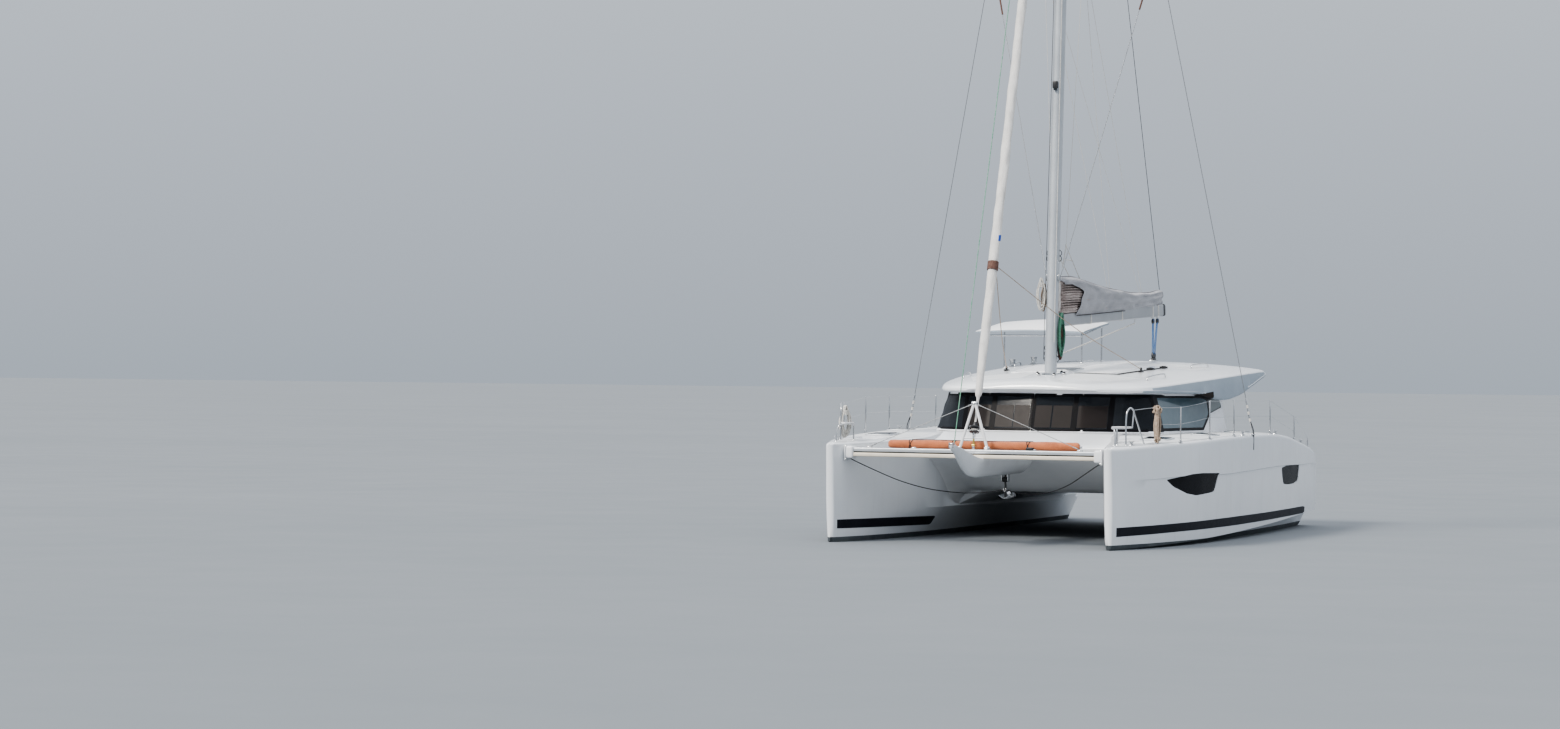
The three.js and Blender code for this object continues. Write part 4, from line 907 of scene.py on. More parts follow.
def makeCentralBeam():
    rings = []
    for x in [3.09, *spaced(3.2, 5.2, 12), *spaced(5.3, 6.5, 20), 6.56, 6.585, 6.6]:
        half, top, low = centralAt(x)
        tip = sqrt(max(0.03, 1 - ((x - 6.56) / 0.042) ** 2)) if x > 6.56 else 1
        half, low = half * tip, top - (top - low) * tip
        flare = [(1.0, 1.0), (1.0, 0.94), (0.95, 0.84), (0.8, 0.58), (0.58, 0.28), (0.32, 0.07), (0.12, 0.0)]
        right = [Vector((x, half * w, low + (top - low) * t)) for w, t in flare]
        left = [Vector((p.x, -p.y, p.z)) for p in reversed(right)]
        dish = [Vector((x, half * w, top - 0.012 * (1 - w * w) * (1 if x > 5.6 else 0))) for w in (-0.8, 0, 0.8)]
        rings.append(right + left + dish)
    beam = painted(solid(rings), "gelcoat")
    rims = []
    for way in (1, -1):
        line = [(x, way * (centralAt(x)[0] - 0.006), centralAt(x)[1] + 0.003) for x in spaced(5.56, 6.56, 16)]
        rims.append(painted(straight(line, 0.012), "whitePaint"))
    spine = painted(block((3.1, -0.15, 1.4), (5.374, 0.15, 1.575), 0.02, 3), "gelcoat")
    walkway = painted(slab(rounded(oblong(4.24, 0, 2.2, 0.24), 0.03), 1.572, 1.5775, 0.001), "deckGrip")
    finished([beam, *rims, spine, walkway], "central_beam_moulding", ["central_beam"], 35)
    cheeks = [block((6.5, y - 0.004, 1.64), (6.596, y + 0.004, 1.73), 0.003) for y in (-0.034, 0.034)]
    wheel = rod((6.555, -0.028, 1.706), (6.555, 0.028, 1.706), 0.02, sides=18, bevel=0.004)
    eye = hose([(6.42, -0.018, 1.65), (6.42, -0.018, 1.7), (6.42, 0.018, 1.7), (6.42, 0.018, 1.65)], 0.006)
    finished([*cheeks, wheel, eye], "beak_fitting", finish="stainless")


def makeCrossbeam():
    x, low, high, half = (crossbeam[k] for k in ("x", "low", "high", "half"))
    groove, lip = crossbeam["grooveHigh"], crossbeam["grooveLow"]

    def along(outline, finish):
        outline = rounded(outline, 0.018, 3)
        rings = []
        for y in spaced(-innerWall(x, 1.5) + 0.0005, innerWall(x, 1.5) - 0.0005, 20):
            rings.append([Vector((px, y, pz)) for px, pz in outline])
        return painted(solid(rings), finish)

    upper = along([(x - half, groove), (x + half, groove), (x + half, high), (x - half, high)], "spar")
    lower = along([(x - half, low), (x + half + 0.01, low), (x + half + 0.01, lip), (x - half, lip)], "creamPaint")
    core = painted(block((x - half + 0.012, -innerWall(x, 1.5) + 0.004, low + 0.02),
                         (x + half - 0.016, innerWall(x, 1.5) - 0.004, high - 0.02), 0), "frit")
    finished([upper, lower, core], "crossbeam_extrusion", ["crossbeam"], 40)
    wall = innerWall(x, 1.5)
    bracket = block((x - 0.12, wall - 0.14, low - 0.035), (x + 0.12, wall + 0.004, high + 0.025), 0.035, 4)
    pad = block((x - 0.14, wall - 0.015, low - 0.07), (x + 0.14, wall + 0.006, high + 0.045), 0.01, 2)
    bolts = [rod((x + dx, wall - 0.02, z), (x + dx, wall - 0.005, z), 0.01, sides=8) for dx in (-0.125, 0.125)
             for z in (low - 0.045, high + 0.02)]
    onBothSides([painted(bracket, "moulding"), painted(pad, "moulding"), *allPainted(bolts, "stainless")],
                "beam_bracket", smooth=40)
    sockets = [block((x - 0.05, y - 0.05, high - 0.002), (x + 0.05, y + 0.05, high + 0.05), 0.012, 2)
               for y in (-0.245, 0.245)]
    pads = [block((x - 0.03, y - 0.045, high - 0.002), (x + 0.03, y + 0.045, high + 0.022), 0.008, 2)
            for y in (-1.85, -1.05, 1.05, 1.85)]
    finished(sockets + pads, "beam_sockets", finish="stainless")
    winch = block((x - 0.05, 0.93, high), (x + 0.06, 1.05, high + 0.05), 0.012, 2)
    finished(winch, "beam_block", finish="darkMetal")


striker = {
    "apex": (5.41, 0, 2.37), "tube": 0.024, "wire": 0.006,
    "leg": [(5.45, 0.245, 1.606), (5.432, 0.135, 1.965), (5.412, 0.018, 2.345)],
    "wireFoot": (5.45, 1.85, 1.622), "screws": [(0.02, 0.06, 0.011), (0.93, 0.975, 0.012)],
}


def makeStriker():
    apex = Vector(striker["apex"])
    legs = [hose([(x, way * y, z) for x, y, z in striker["leg"]], striker["tube"], 14) for way in (1, -1)]
    head = rod(apex - Vector((0, 0.05, 0)), apex + Vector((0, 0.05, 0)), 0.034, sides=18, bevel=0.006)
    brace = rod((5.441, -0.19, 1.79), (5.441, 0.19, 1.79), 0.014, sides=10)
    whole = joined([*allPainted(legs, "whitePaint"), painted(brace, "whitePaint"),
                    painted(head, "stainless")])
    finished(whole, "striker_tubes", ["striker"], 50)
    x, y, z = striker["wireFoot"]
    feet = [Vector((x, way * y, z)) for way in (1, -1)]
    parts = [straight([apex, foot], striker["wire"]) for foot in feet]
    for foot in feet:
        for t0, t1, radius in striker["screws"]:
            parts.append(rod(apex.lerp(foot, t0), apex.lerp(foot, t1), radius, sides=10, bevel=0.003))
    finished(parts, "striker_wires", smooth=50, finish="wire")


nets = {
    "aft": 3.15, "fore": 5.35, "inner": 0.185, "height": 1.565, "gap": 0.035,  # gap to the hull's wall
    "across": 52, "along": 46, "cord": 0.0035, "band": 0.045, "lace": 0.0028,
}


def makeNets():
    for side, way in sides.items():
        lowX, highX, lowY, z = (nets[key] for key in ("aft", "fore", "inner", "height"))
        edges = [(x, innerWall(x, 1.5) - nets["gap"]) for x in spaced(lowX, highX, 12)]
        reach = eased(edges)
        segments = []
        for x in spaced(lowX, highX, nets["across"]):
            segments.append(((x, way * lowY, z), (x, way * reach(x)[0], z)))
        for y in spaced(lowY, reach(highX)[0], nets["along"]):
            near = min(x for x in spaced(lowX, highX, 60) if reach(x)[0] >= y - 1e-6)
            segments.append(((near, way * y, z + 0.003), (highX, way * y, z + 0.003)))
        net = bars(segments, nets["cord"])
        outline = [(lowX, lowY), (highX, lowY), *reversed(edges)]
        borders = []
        for (xa, ya), (xb, yb) in zip(outline, outline[1:] + outline[:1]):
            a, b = Vector((xa, way * ya, z)), Vector((xb, way * yb, z))
            if (b - a).length < 1e-4:
                continue
            inward = Vector((0, 0, 1)).cross(b - a).normalized() * (nets["band"] * way)
            strip = ((0, 0.007), (1, 0.007), (1, -0.005), (0, -0.005))
            borders.append(solid([[p + inward * s + Vector((0, 0, h)) for s, h in strip] for p in (a, b)]))
        laces = []
        for x in spaced(lowX, highX, 26):
            laces.append(((x - 0.02, way * (lowY + 0.02), z), (x + 0.02, way * 0.152, z)))
            laces.append(((x - 0.02, way * (reach(x)[0] - 0.02), z), (x + 0.02, way * (reach(x)[0] + 0.033), z)))
        for y in spaced(lowY + 0.05, reach(highX)[0] - 0.05, 24):
            laces.append(((highX - 0.02, way * (y - 0.02), z), (5.372, way * (y + 0.02), z)))
            if y < reach(lowX)[0] - 0.05:
                laces.append(((lowX + 0.02, way * (y - 0.02), z), (3.124, way * (y + 0.02), z)))
        lace = painted(bars(laces, nets["lace"]), "whiteRope")
        finished([painted(net, "netCord"), *allPainted(borders, "netCord"), lace], "net_" + side,
                 ["trampoline_" + side], 40)


def makeAnchor():
    cheeks = [painted(slab(rounded([(3.68, -1.4), (3.82, -1.4), (3.8, -1.02), (3.7, -1.02)], 0.03), -0.005, 0.005,
                           0.001, 12), "stainless") for _ in range(2)]
    for cheek, y in zip(cheeks, (-0.055, 0.055)):
        for vertex in cheek.data.vertices:
            x, v, w = vertex.co
            vertex.co = (x, y + w, -v)
        facesOutward(cheek)
    roller = painted(rod((3.75, -0.045, 1.06), (3.75, 0.045, 1.06), 0.045, sides=24, bevel=0.01), "rubber")
    # A dark sheet in the rubber finish under the beam round the roller: painted shade standing in for the shaded
    # anchor locker opening
    rows = []
    for x, reach in zip(spaced(3.63, 3.89, 9), (0.3, 0.42, 0.52, 0.58, 0.6, 0.58, 0.52, 0.42, 0.3)):
        half, top, low = centralAt(x)
        under = [(reach * t, low + (top - low) * (0.3 * max(0, reach * abs(t) - 0.1) / 0.48))
                 for t in spaced(-1, 1, 13)]
        rows.append([Vector((x, half * w, z - 0.004)) for w, z in under]
                    + [Vector((x, half * w * 0.96, z + 0.006)) for w, z in reversed(under)])
    paintedRecessShade = painted(solid(rows), "rubber")
    pin = painted(rod((3.75, -0.068, 1.06), (3.75, 0.068, 1.06), 0.01, sides=12), "stainless")
    shank = solid([[Vector((3.75 + sx * w + lean, sy * 0.011, z)) for sx, sy in ((-1, -1), (1, -1), (1, 1), (-1, 1))]
                  for z, w, lean in ((1.33, 0.02, 0.0), (1.28, 0.026, 0.0), (1.02, 0.03, -0.004),
                                     (0.86, 0.036, -0.012), (0.77, 0.06, -0.03), (0.73, 0.075, -0.045))])
    applied(shank, "BEVEL", width=0.004, segments=2, limit_method="ANGLE", angle_limit=0.9)
    rings = []
    for t in spaced(0, 1, 14):
        x = 3.424 + 0.4 * t
        half = 0.15 * sin(pi * (0.08 + 0.7 * t)) ** 1.2
        rise = 0.855 - 0.14 * sin(pi * (0.12 + 0.5 * t)) + 0.02 * t
        top = [Vector((x, half * w, rise + 0.05 * abs(w) ** 1.5)) for w in spaced(-1, 1, 11)]
        rings.append(top + [Vector((p.x, p.y, p.z - 0.01)) for p in reversed(top)])
    fluke = solid(rings)
    steel = [painted(shank, "darkMetal"), painted(fluke, "stainless")]
    finished([*cheeks, roller, pin, paintedRecessShade, *steel], "anchor_assembly", ["anchor"], 40)
    swivel = [hose([(3.775, -0.02, 0.897), (3.79, -0.02, 0.868), (3.79, 0.02, 0.868), (3.775, 0.02, 0.897)], 0.007,
                   8)]
    shackles = []
    for way in (1, -1):
        eye = hose([(3.788, way * 0.018, 0.872), (3.79, way * 0.045, 0.873), (3.79, way * 0.076, 0.8785)], 0.011, 8,
                   4)
        finished(eye, "bridle_eye_" + ("port" if way > 0 else "starboard"), smooth=60, finish="blackRope")
        shackles.append(hose([(5.42, way * 2.262, 1.462), (5.44, way * 2.235, 1.44), (5.425, way * 2.225, 1.415),
                              (5.4, way * 2.235, 1.42), (5.405, way * 2.262, 1.455)], 0.007, 8))
    finished(swivel + shackles, "bridle_shackles", smooth=60, finish="stainless")


makeUnderside()
makeCentralBeam()
makeCrossbeam()
makeStriker()
makeNets()
makeAnchor()
softened("bridgedeck", 0.014, "moulding")
print("forward beams, nets and bridgedeck")


# Cabin: walls, glass band with black borders, and the coachroof
cabin = {
    "sillZ": 1.855, "headZ": 2.56,
    "sill": [(2.42, 0), (2.3, 0.9), (1.96, 1.64), (1.56, 2.04), (-1.65, 2.2), (-2.6, 2.23)],
    "head": [(2.15, 0), (2.06, 0.86), (1.76, 1.54), (1.33, 1.88), (-1.65, 2.08), (-2.6, 2.12)],
    "bandLow": 1.905, "bandHigh": 2.515, "mullions": [0.0, 0.75, 1.34],
    "blinds": [(0.05, 0.34), (0.36, 0.7), (0.8, 1.29)], "blindLow": 1.94, "blindHigh": 2.33,
}
roof = {
    # x, half breadth, foot, edge, crown
    "stations": [(2.38, 1.18, 2.575, 2.64, 2.73), (2.08, 1.64, 2.56, 2.655, 2.79),
                 (1.56, 1.96, 2.56, 2.69, 2.85), (0.0, 2.3, 2.55, 2.8, 2.985),
                 (-1.5, 2.47, 2.44, 2.89, 3.09), (-2.4, 2.52, 2.52, 2.94, 3.14),
                 (-3.3, 2.54, 2.69, 2.985, 3.17), (-4.4, 2.5, 2.87, 3.02, 3.165),
                 (-5.32, 2.25, 2.97, 3.02, 3.1)],
    "hatch": (-3.72, -2.66, -2.18, -0.72), "light": (0.4, 0.0, 0.58),
    "panels": [[(0.7, -0.95), (0.7, -0.1), (-1.3, -0.1), (-1.3, -1.1)],
               [(0.7, 0.1), (0.7, 0.95), (-1.3, 1.1), (-1.3, 0.1)]],
    "foreGrip": [(1.9, 0.35), (1.9, 1.25), (0.95, 1.6), (0.95, 0.35)],
    "aftGrip": [(-1.6, 0.3), (-1.6, 1.9), (-2.55, 1.95), (-2.55, 0.3)],
    "grabRails": (1.05, -1.9), "winches": [(-2.56, -1.98), (-2.56, -1.55)],
}
roofAt = eased(roof["stations"])
roofSplit = eased([(2.38, 2.6), (0.8, 2.6), (0.1, 2.552), (-0.4, 2.565), (-1.5, 2.642), (-2.4, 2.684),
                   (-3.3, 2.722), (-4.4, 2.88), (-5.32, 2.975)])


def wallPoint(s, z, lift):
    # s runs along the plan from the middle of the front: 0..5, one step for each corner of the wall
    t = (z - cabin["sillZ"]) / (cabin["headZ"] - cabin["sillZ"])
    pairs = list(zip(cabin["sill"], cabin["head"]))
    i = min(int(s), len(pairs) - 2)
    f = s - i

    def at(k):
        (xa, ya), (xb, yb) = pairs[k]
        return Vector((xa + (xb - xa) * t, ya + (yb - ya) * t, z))
    a, b = at(i), at(i + 1)
    normal = Vector((b.y - a.y, a.x - b.x, 0)).normalized()
    if normal.y < 0 and i > 0:
        normal = -normal
    if i == 0:
        normal = Vector((abs(normal.x), abs(normal.y), 0))
    return a.lerp(b, f) + normal * lift


def alongWall(x, z):
    # The plan position whose wall point has this x at height z
    low, high = 0.0, 5.0
    for _ in range(40):
        middle = (low + high) / 2
        if wallPoint(middle, z, 0).x > x:
            low = middle
        else:
            high = middle
    return low


def wallSheet(outline, lift, thick, finish, columns=30):
    # outline in (x, z) on the cabin wall
    def onWall(x, z, d):
        return wallPoint(alongWall(x, z), z, lift + d)
    return painted(panel(outline, onWall, thick, 0.002, columns, 4), finish)


def frontSheet(lowY, highY, lowZ, highZ, lift, thick, finish):
    # Between two y positions, across the front corners
    def wallY(y, z):
        low, high = 0.0, 3.4
        for _ in range(34):
            middle = (low + high) / 2
            low, high = (middle, high) if wallPoint(middle, z, 0).y < y else (low, middle)
        return low
    outline = rounded([(lowY, lowZ), (highY, lowZ), (highY, highZ), (lowY, highZ)], 0.012, 2)
    return painted(panel(outline, lambda y, z, d: wallPoint(wallY(y, z), z, lift + d), thick, 0.002, 20, 4), finish)


def makeGlass():
    low, high = cabin["bandLow"] - 0.012, cabin["bandHigh"] + 0.012
    corner = wallSheet([(1.72, low), (1.38, low), (1.38, high), (1.5, high)], 0.0078, 0.005, "cabinGlass")
    pane = joined([frontSheet(0.004, 1.93, low, high, 0.008, 0.006, "cabinGlass"), corner])
    other = twin(pane)
    finished([pane, other], "front_glass", ["windscreen"], 20)
    strips = [frontSheet(y - (0.045 if y else -0.001), y + 0.045, low + 0.004, high - 0.004, 0.011, 0.005, "frit")
              for y in cabin["mullions"]]
    strips += [frontSheet(0.002, 1.93, high - 0.045, high + 0.012, 0.01, 0.009, "frit"),
               frontSheet(0.002, 1.93, low - 0.012, low + 0.03, 0.01, 0.009, "frit")]
    strips.append(wallSheet([(1.42, low - 0.012), (1.13, low - 0.012), (1.13, high + 0.012), (1.42, high + 0.012)],
                            0.0105, 0.009, "frit"))
    onBothSides(strips, "front_glass_border", smooth=20)
    # The side light's pane is coloured light blue as painted reflection of the sky
    side = rounded([(1.2, low), (-1.155, low), (-1.665, 2.172), (-1.665, high), (1.2, high)], 0.02, 3)
    onBothSides(wallSheet(side, 0.008, 0.006, "sideGlass", 40), "side_light", ["side_glass_SIDE"], 20)
    borders = []
    edge = [(1.2, low), (-1.155, low), (-1.665, 2.172), (-1.665, high), (1.2, high)]
    inset = [(1.12, low + 0.05), (-1.13, low + 0.05), (-1.59, 2.2), (-1.59, high - 0.05), (1.12, high - 0.05)]
    for i in range(5):
        a, b = edge[i], edge[(i + 1) % 5]
        c, d = inset[(i + 1) % 5], inset[i]
        if abs(a[0] - b[0]) < 0.01:
            box = [(min(a[0], d[0]), a[1]), (max(a[0], d[0]), a[1]), (max(a[0], d[0]), b[1]), (min(a[0], d[0]), b[1])]
        else:
            box = [a, b, c, d]
        borders.append(wallSheet(box, 0.0105, 0.009, "frit", 24))
    borders.append(wallSheet([(-0.8, 2.536), (-1.56, 2.44), (-1.9, 2.45), (-2.37, 2.468), (-2.34, 2.536)], 0.0125,
                             0.008, "frit", 24))
    onBothSides(borders, "side_light_border", smooth=20)
    # The quarter light's pane is coloured light grey-green as painted reflection
    quarter = rounded([(-1.74, 2.215), (-2.45, 2.32), (-2.335, 2.512), (-1.74, 2.512)], 0.02, 3)
    back = wallSheet(rounded([(-1.72, 2.195), (-2.475, 2.307), (-2.35, 2.53), (-1.72, 2.53)], 0.03, 3), 0.006, 0.005,
                     "frit")
    pane = wallSheet(quarter, 0.009, 0.005, "quarterGlass")
    onBothSides([pane, back], "quarter_light", ["quarter_glass_SIDE"], 20)
    blinds = [frontSheet(lowY, highY, cabin["blindLow"], cabin["blindHigh"], 0.0088, 0.002, "blindFilm")
              for lowY, highY in cabin["blinds"]]
    onBothSides(blinds, "front_blind", smooth=20)


def roofSection(x):
    half, foot, edge, crown = roofAt(x)
    soffit = max(2.561, crown - 0.11)
    thin = 1.0
    if x > 2.3:
        thin = sqrt(max(0.06, 1 - ((x - 2.3) / 0.083) ** 2))
    if x < -5.26:
        thin = sqrt(max(0.06, 1 - ((x + 5.26) / 0.063) ** 2))
    middle = (foot + edge) / 2
    arch = [(out * half, crown - drop * (crown - edge), 0) for out, drop in ((0.28, 0.07), (0.55, 0.28), (0.8, 0.62))]
    top = lineThrough([(0, crown, 0), *arch, (half - 0.14, edge + 0.01, 0)], 3)
    side = arcPoints((half - 0.14, edge + 0.01, 0), (half - 0.035, edge - 0.006, 0), (half - 0.026, edge - 0.045, 0),
                     5)
    low = arcPoints((half - 0.004, foot + 0.045, 0), (half, foot, 0), (half - 0.055, foot + 0.001, 0), 5)
    under = [Vector((half - 0.15, min(edge - 0.06, foot + 0.025), 0)),
             Vector((half - 0.26, min(soffit, edge - 0.05), 0)), Vector((half * 0.5, min(soffit, edge + 0.02), 0)),
             Vector((0, soffit, 0))]
    split = Vector((half - 0.012, min(edge - 0.07, max(foot + 0.05, roofSplit(x)[0])), 0))
    row = [(p.x, p.y) for p in [*top[:-1], *side, split, *low, *under]]
    return [(y, middle + (z - middle) * thin) for y, z in row]


def roofHeight(x, y):
    row = roofSection(x)
    top = row[:17]
    for (ya, za), (yb, zb) in zip(top, top[1:]):
        if ya <= abs(y) <= yb:
            return za + (zb - za) * (abs(y) - ya) / max(1e-9, yb - ya)
    return top[-1][1]


def roofPanel(corners, lift, thick, finish, radius=0.06, edge=0.006):
    return painted(panel(rounded(corners, radius), lambda u, v, d: Vector((u, v, roofHeight(u, v) + lift + d)), thick,
                         edge, 20, 6), finish)


def makeRoof():
    xs = [2.382, 2.376, 2.365, 2.345, 2.32, 2.29, 2.24] + spaced(2.16, -5.2, 58)
    xs += [-5.25, -5.28, -5.305, -5.317, -5.322]
    rings = []
    for x in xs:
        row = roofSection(x)
        right = [Vector((x, y, z)) for y, z in row]
        left = [Vector((x, -y, z)) for y, z in reversed(row[1:-1])]
        rings.append(right + left)
    shell = solid(rings)
    x0, x1, y0, y1 = roof["hatch"]
    opening = slab(rounded([(x0, y0), (x1, y0), (x1, y1), (x0, y1)], 0.1, 4), 2.3, 3.6)
    cut(shell, opening)
    finished(shell, "coachroof_shell", ["coachroof"], 34, "gelcoat")
    shell.data.materials.append(finishes["soffit"])
    shell.data.materials.append(finishes["shadowTrim"])
    # Faces near the roof's side edge that look down or outward get the soffit colour as painted shade and sky
    # reflection; the low ones between x -1.0 and 0.1 get the near-black shadowTrim
    for face in shell.data.polygons:
        x, y, z = face.center
        edge = abs(y) > roofAt(x)[0] - 0.2 and x < 1.75
        side = edge and (face.normal.z < -0.15 or abs(face.normal.y) > 0.45 and face.normal.z < 0.35)
        face.material_index = 2 if side and -1.0 < x < 0.1 and z < roofSplit(x)[0] else int(side)
    rim = rounded([(x0 - 0.02, y0 - 0.02), (x1 + 0.02, y0 - 0.02), (x1 + 0.02, y1 + 0.02), (x0 - 0.02, y1 + 0.02)],
                  0.12)
    line = [Vector((u, v, roofHeight(u, v) + 0.006)) for u, v in rim]
    finished(skin(ringsAlong([*line, line[0]], 0.016, 8), closed=True), "helm_opening_trim", smooth=60,
             finish="moulding")
    pieces = [roofPanel(corners, 0.012, 0.03, "moulding") for corners in roof["panels"]]
    finished(pieces, "roof_raised_panels", smooth=40)
    x, y, size = roof["light"]
    outer = roofPanel(oblong(x, y, size, size), 0.034, 0.05, "spar", 0.06, 0.008)
    light = roofPanel(oblong(x, y, size - 0.08, size - 0.08), 0.039, 0.02, "cabinGlass", 0.04, 0.004)
    finished([outer, light], "roof_hatch", smooth=30)
    areas = [[(x, way * y) for x, y in roof["foreGrip"]] for way in (1, -1)] + [roof["aftGrip"]]
    grips = [roofPanel(corners, 0.003, 0.01, "deckGrip", 0.05, 0.002) for corners in areas]
    for piece in grips:
        if piece.data.vertices[0].co.y < 0:
            facesOutward(piece)
    finished(grips, "roof_grip", smooth=30)
    rails = []
    for way in (1, -1):
        for x in roof["grabRails"]:
            xa, ya, xb, yb = x, way * 1.72, x - 0.75, way * 1.84
            za, zb = roofHeight(xa, ya), roofHeight(xb, yb)
            rails.append(hose([(xa, ya, za), (xa - 0.02, ya, za + 0.05), (xa - 0.09, ya, za + 0.065),
                               (xb + 0.09, yb, zb + 0.065), (xb + 0.02, yb, zb + 0.05), (xb, yb, zb)], 0.013, 10, 4))
    finished(rails, "roof_grab_rails", smooth=60, finish="stainless")


makeGlass()
# The cabin walls take the brighter gelcoat copy as painted light
softened("cabin_walls", 0.004, "wallGelPaintedLight")
makeRoof()
print("cabin and roof")

# Rig: mast, spreaders, stay wires, rolled headsail and its furler
rig = {
    "foot": 2.87, "top": 18.35, "rake": 0.053, "mastX": 1.26, "long": 0.29, "wide": 0.2, "hounds": 17.1,
    "spreaderRoot": 10.42, "spreaderTip": (0.1, 1.57, 10.6), "chainplate": (-0.38, 3.292, 1.8),
    "stayFoot": (5.45, 1.79), "diamondFoot": 4.6,
}
genoa = {
    # height, radius
    "rings": [(2.06, 0.016), (2.3, 0.018), (2.45, 0.024), (2.52, 0.058), (2.9, 0.068), (4.5, 0.082),
              (9.0, 0.078), (13.0, 0.062), (15.5, 0.042), (15.7, 0.016), (17.12, 0.012)],
    "band": (4.62, 4.76), "mark": (5.12, 5.22),
    # height, radius
    "drum": [(1.882, 0.03), (1.884, 0.082), (1.896, 0.085), (1.902, 0.082), (1.906, 0.05), (1.955, 0.046),
             (1.96, 0.08), (1.972, 0.085), (1.984, 0.078), (1.99, 0.042), (2.046, 0.034), (2.05, 0.02)],
    "clew": 4.72, "sheetBlock": (-0.1, 1.28),
}


def mastAt(z):
    return rig["mastX"] - rig["rake"] * (z - rig["foot"])


def stayAt(z):
    footX, footZ = rig["stayFoot"]
    return footX + (mastAt(rig["hounds"]) + 0.15 - footX) * (z - footZ) / (rig["hounds"] - footZ)


def makeMast():
    rings = []
    for z in [2.812, 2.86, *spaced(3.0, 16.8, 24), 17.1, 17.6, 18.1, 18.335, 18.35]:
        share = 1 if z < 17.1 else 1 - 0.2 * (z - 17.1) / 1.25
        if z >= 18.34:
            share *= 0.9
        ring = []
        for k, a in enumerate(turns(32)):
            x, y = cos(a), sin(a)
            x = copysign(abs(x) ** 0.85, x) * rig["long"] / 2 * share
            y = copysign(abs(y) ** 0.85, y) * rig["wide"] / 2 * share
            if k == 16:  # sail track in the after face
                x += 0.022 * share
            ring.append(Vector((mastAt(z) + x, y, z)))
        rings.append(ring)
    tube = painted(solid(rings), "spar")
    foot = painted(slab(rounded(oblong(1.262, 0, 0.46, 0.34), 0.08), 2.8, 2.862, 0.012), "spar")
    collar = painted(slab(rounded(oblong(1.262, 0, 0.36, 0.27), 0.1), 2.855, 2.905, 0.01), "stainless")
    spreaders = []
    for way in (1, -1):
        root = Vector((mastAt(rig["spreaderRoot"]) - 0.02, way * 0.07, rig["spreaderRoot"]))
        tip = Vector((rig["spreaderTip"][0], way * (rig["spreaderTip"][1] - 0.004), rig["spreaderTip"][2]))
        ahead = (tip - root).normalized()
        chord = Vector((0, 0, 1)).cross(ahead).normalized()
        rows = []
        for t in spaced(0, 1, 10):
            wide = 0.075 - 0.035 * t
            if t > 0.97:
                wide *= 0.7
            middle = root.lerp(tip, t)
            rows.append([middle + chord * wide * cos(a) + Vector((0, 0, 0.34 * wide * sin(a)))
                         for a in turns(14)])
        spreaders.append(painted(solid(rows), "spar"))
        spreaders.append(painted(rod(tip - ahead * 0.05, tip + ahead * 0.012, 0.024, sides=12, bevel=0.005),
                                 "stainless"))
        spreaders.append(painted(block((root.x - 0.09, way * 0.06, root.z - 0.05),
                                       (root.x + 0.09, way * 0.16, root.z + 0.055), 0.015), "stainless"))
    top = mastAt(18.35)
    head = [painted(block((top - 0.22, -0.05, 18.25), (top + 0.2, 0.05, 18.345), 0.02, 3), "spar")]
    for x in (top + 0.17, top - 0.19):
        wheel = rod((x, -0.045, 18.27), (x, 0.045, 18.27), 0.04, sides=18, bevel=0.006)
        head.append(painted(wheel, "darkMetal"))
    finished([tube, foot, collar, *spreaders, *head], "mast_and_spreaders", ["mast"], 35)


mastGear = {
    "lamp": 8.07, "eyes": (3.15, 3.25, 3.35, 4.95, 5.05), "turningBlocks": 6,
    # share of the shroud, radius
    "screw": [(0.004, 0.016), (0.012, 0.02), (0.02, 0.012), (0.024, 0.018), (0.05, 0.018), (0.055, 0.011),
              (0.063, 0.011), (0.066, 0.015), (0.076, 0.013), (0.078, 0.007)],
}


def makeMastFittings():
    parts = []
    lampX = mastAt(mastGear["lamp"]) + 0.145
    parts.append(painted(block((lampX - 0.01, -0.045, 8.0), (lampX + 0.075, 0.045, 8.13), 0.015), "darkMetal"))
    parts.append(painted(rod((lampX + 0.035, 0, 7.965), (lampX + 0.035, 0, 8.005), 0.03, 0.036, 16, 0.004), "screen"))
    for z in mastGear["eyes"]:
        for way in (1, -1):
            x = mastAt(z) - 0.03
            parts.append(painted(hose([(x, way * 0.105, z - 0.05), (x, way * 0.135, z - 0.02),
                                       (x, way * 0.135, z + 0.02), (x, way * 0.105, z + 0.05)], 0.007, 8, 3),
                                 "darkMetal"))
    for k in range(mastGear["turningBlocks"]):  # round the mast foot
        a = radians(35 + 58 * k)
        x, y = 1.262 + 0.3 * cos(a), 0.25 * sin(a)
        z = roofHeight(x, y)
        parts.append(painted(rod((x - 0.01, y, z + 0.03), (x + 0.01, y, z + 0.03), 0.024, sides=16, bevel=0.004),
                             "darkMetal"))
        parts.append(painted(block((x - 0.02, y - 0.03, z - 0.002), (x + 0.02, y + 0.03, z + 0.02), 0.004),
                             "stainless"))
    for way in (1, -1):
        z = rig["diamondFoot"]
        parts.append(painted(block((mastAt(z) - 0.05, way * 0.09, z - 0.06), (mastAt(z) + 0.05, way * 0.13, z + 0.06),
                                   0.01), "stainless"))
    finished(parts, "mast_fittings", smooth=40)


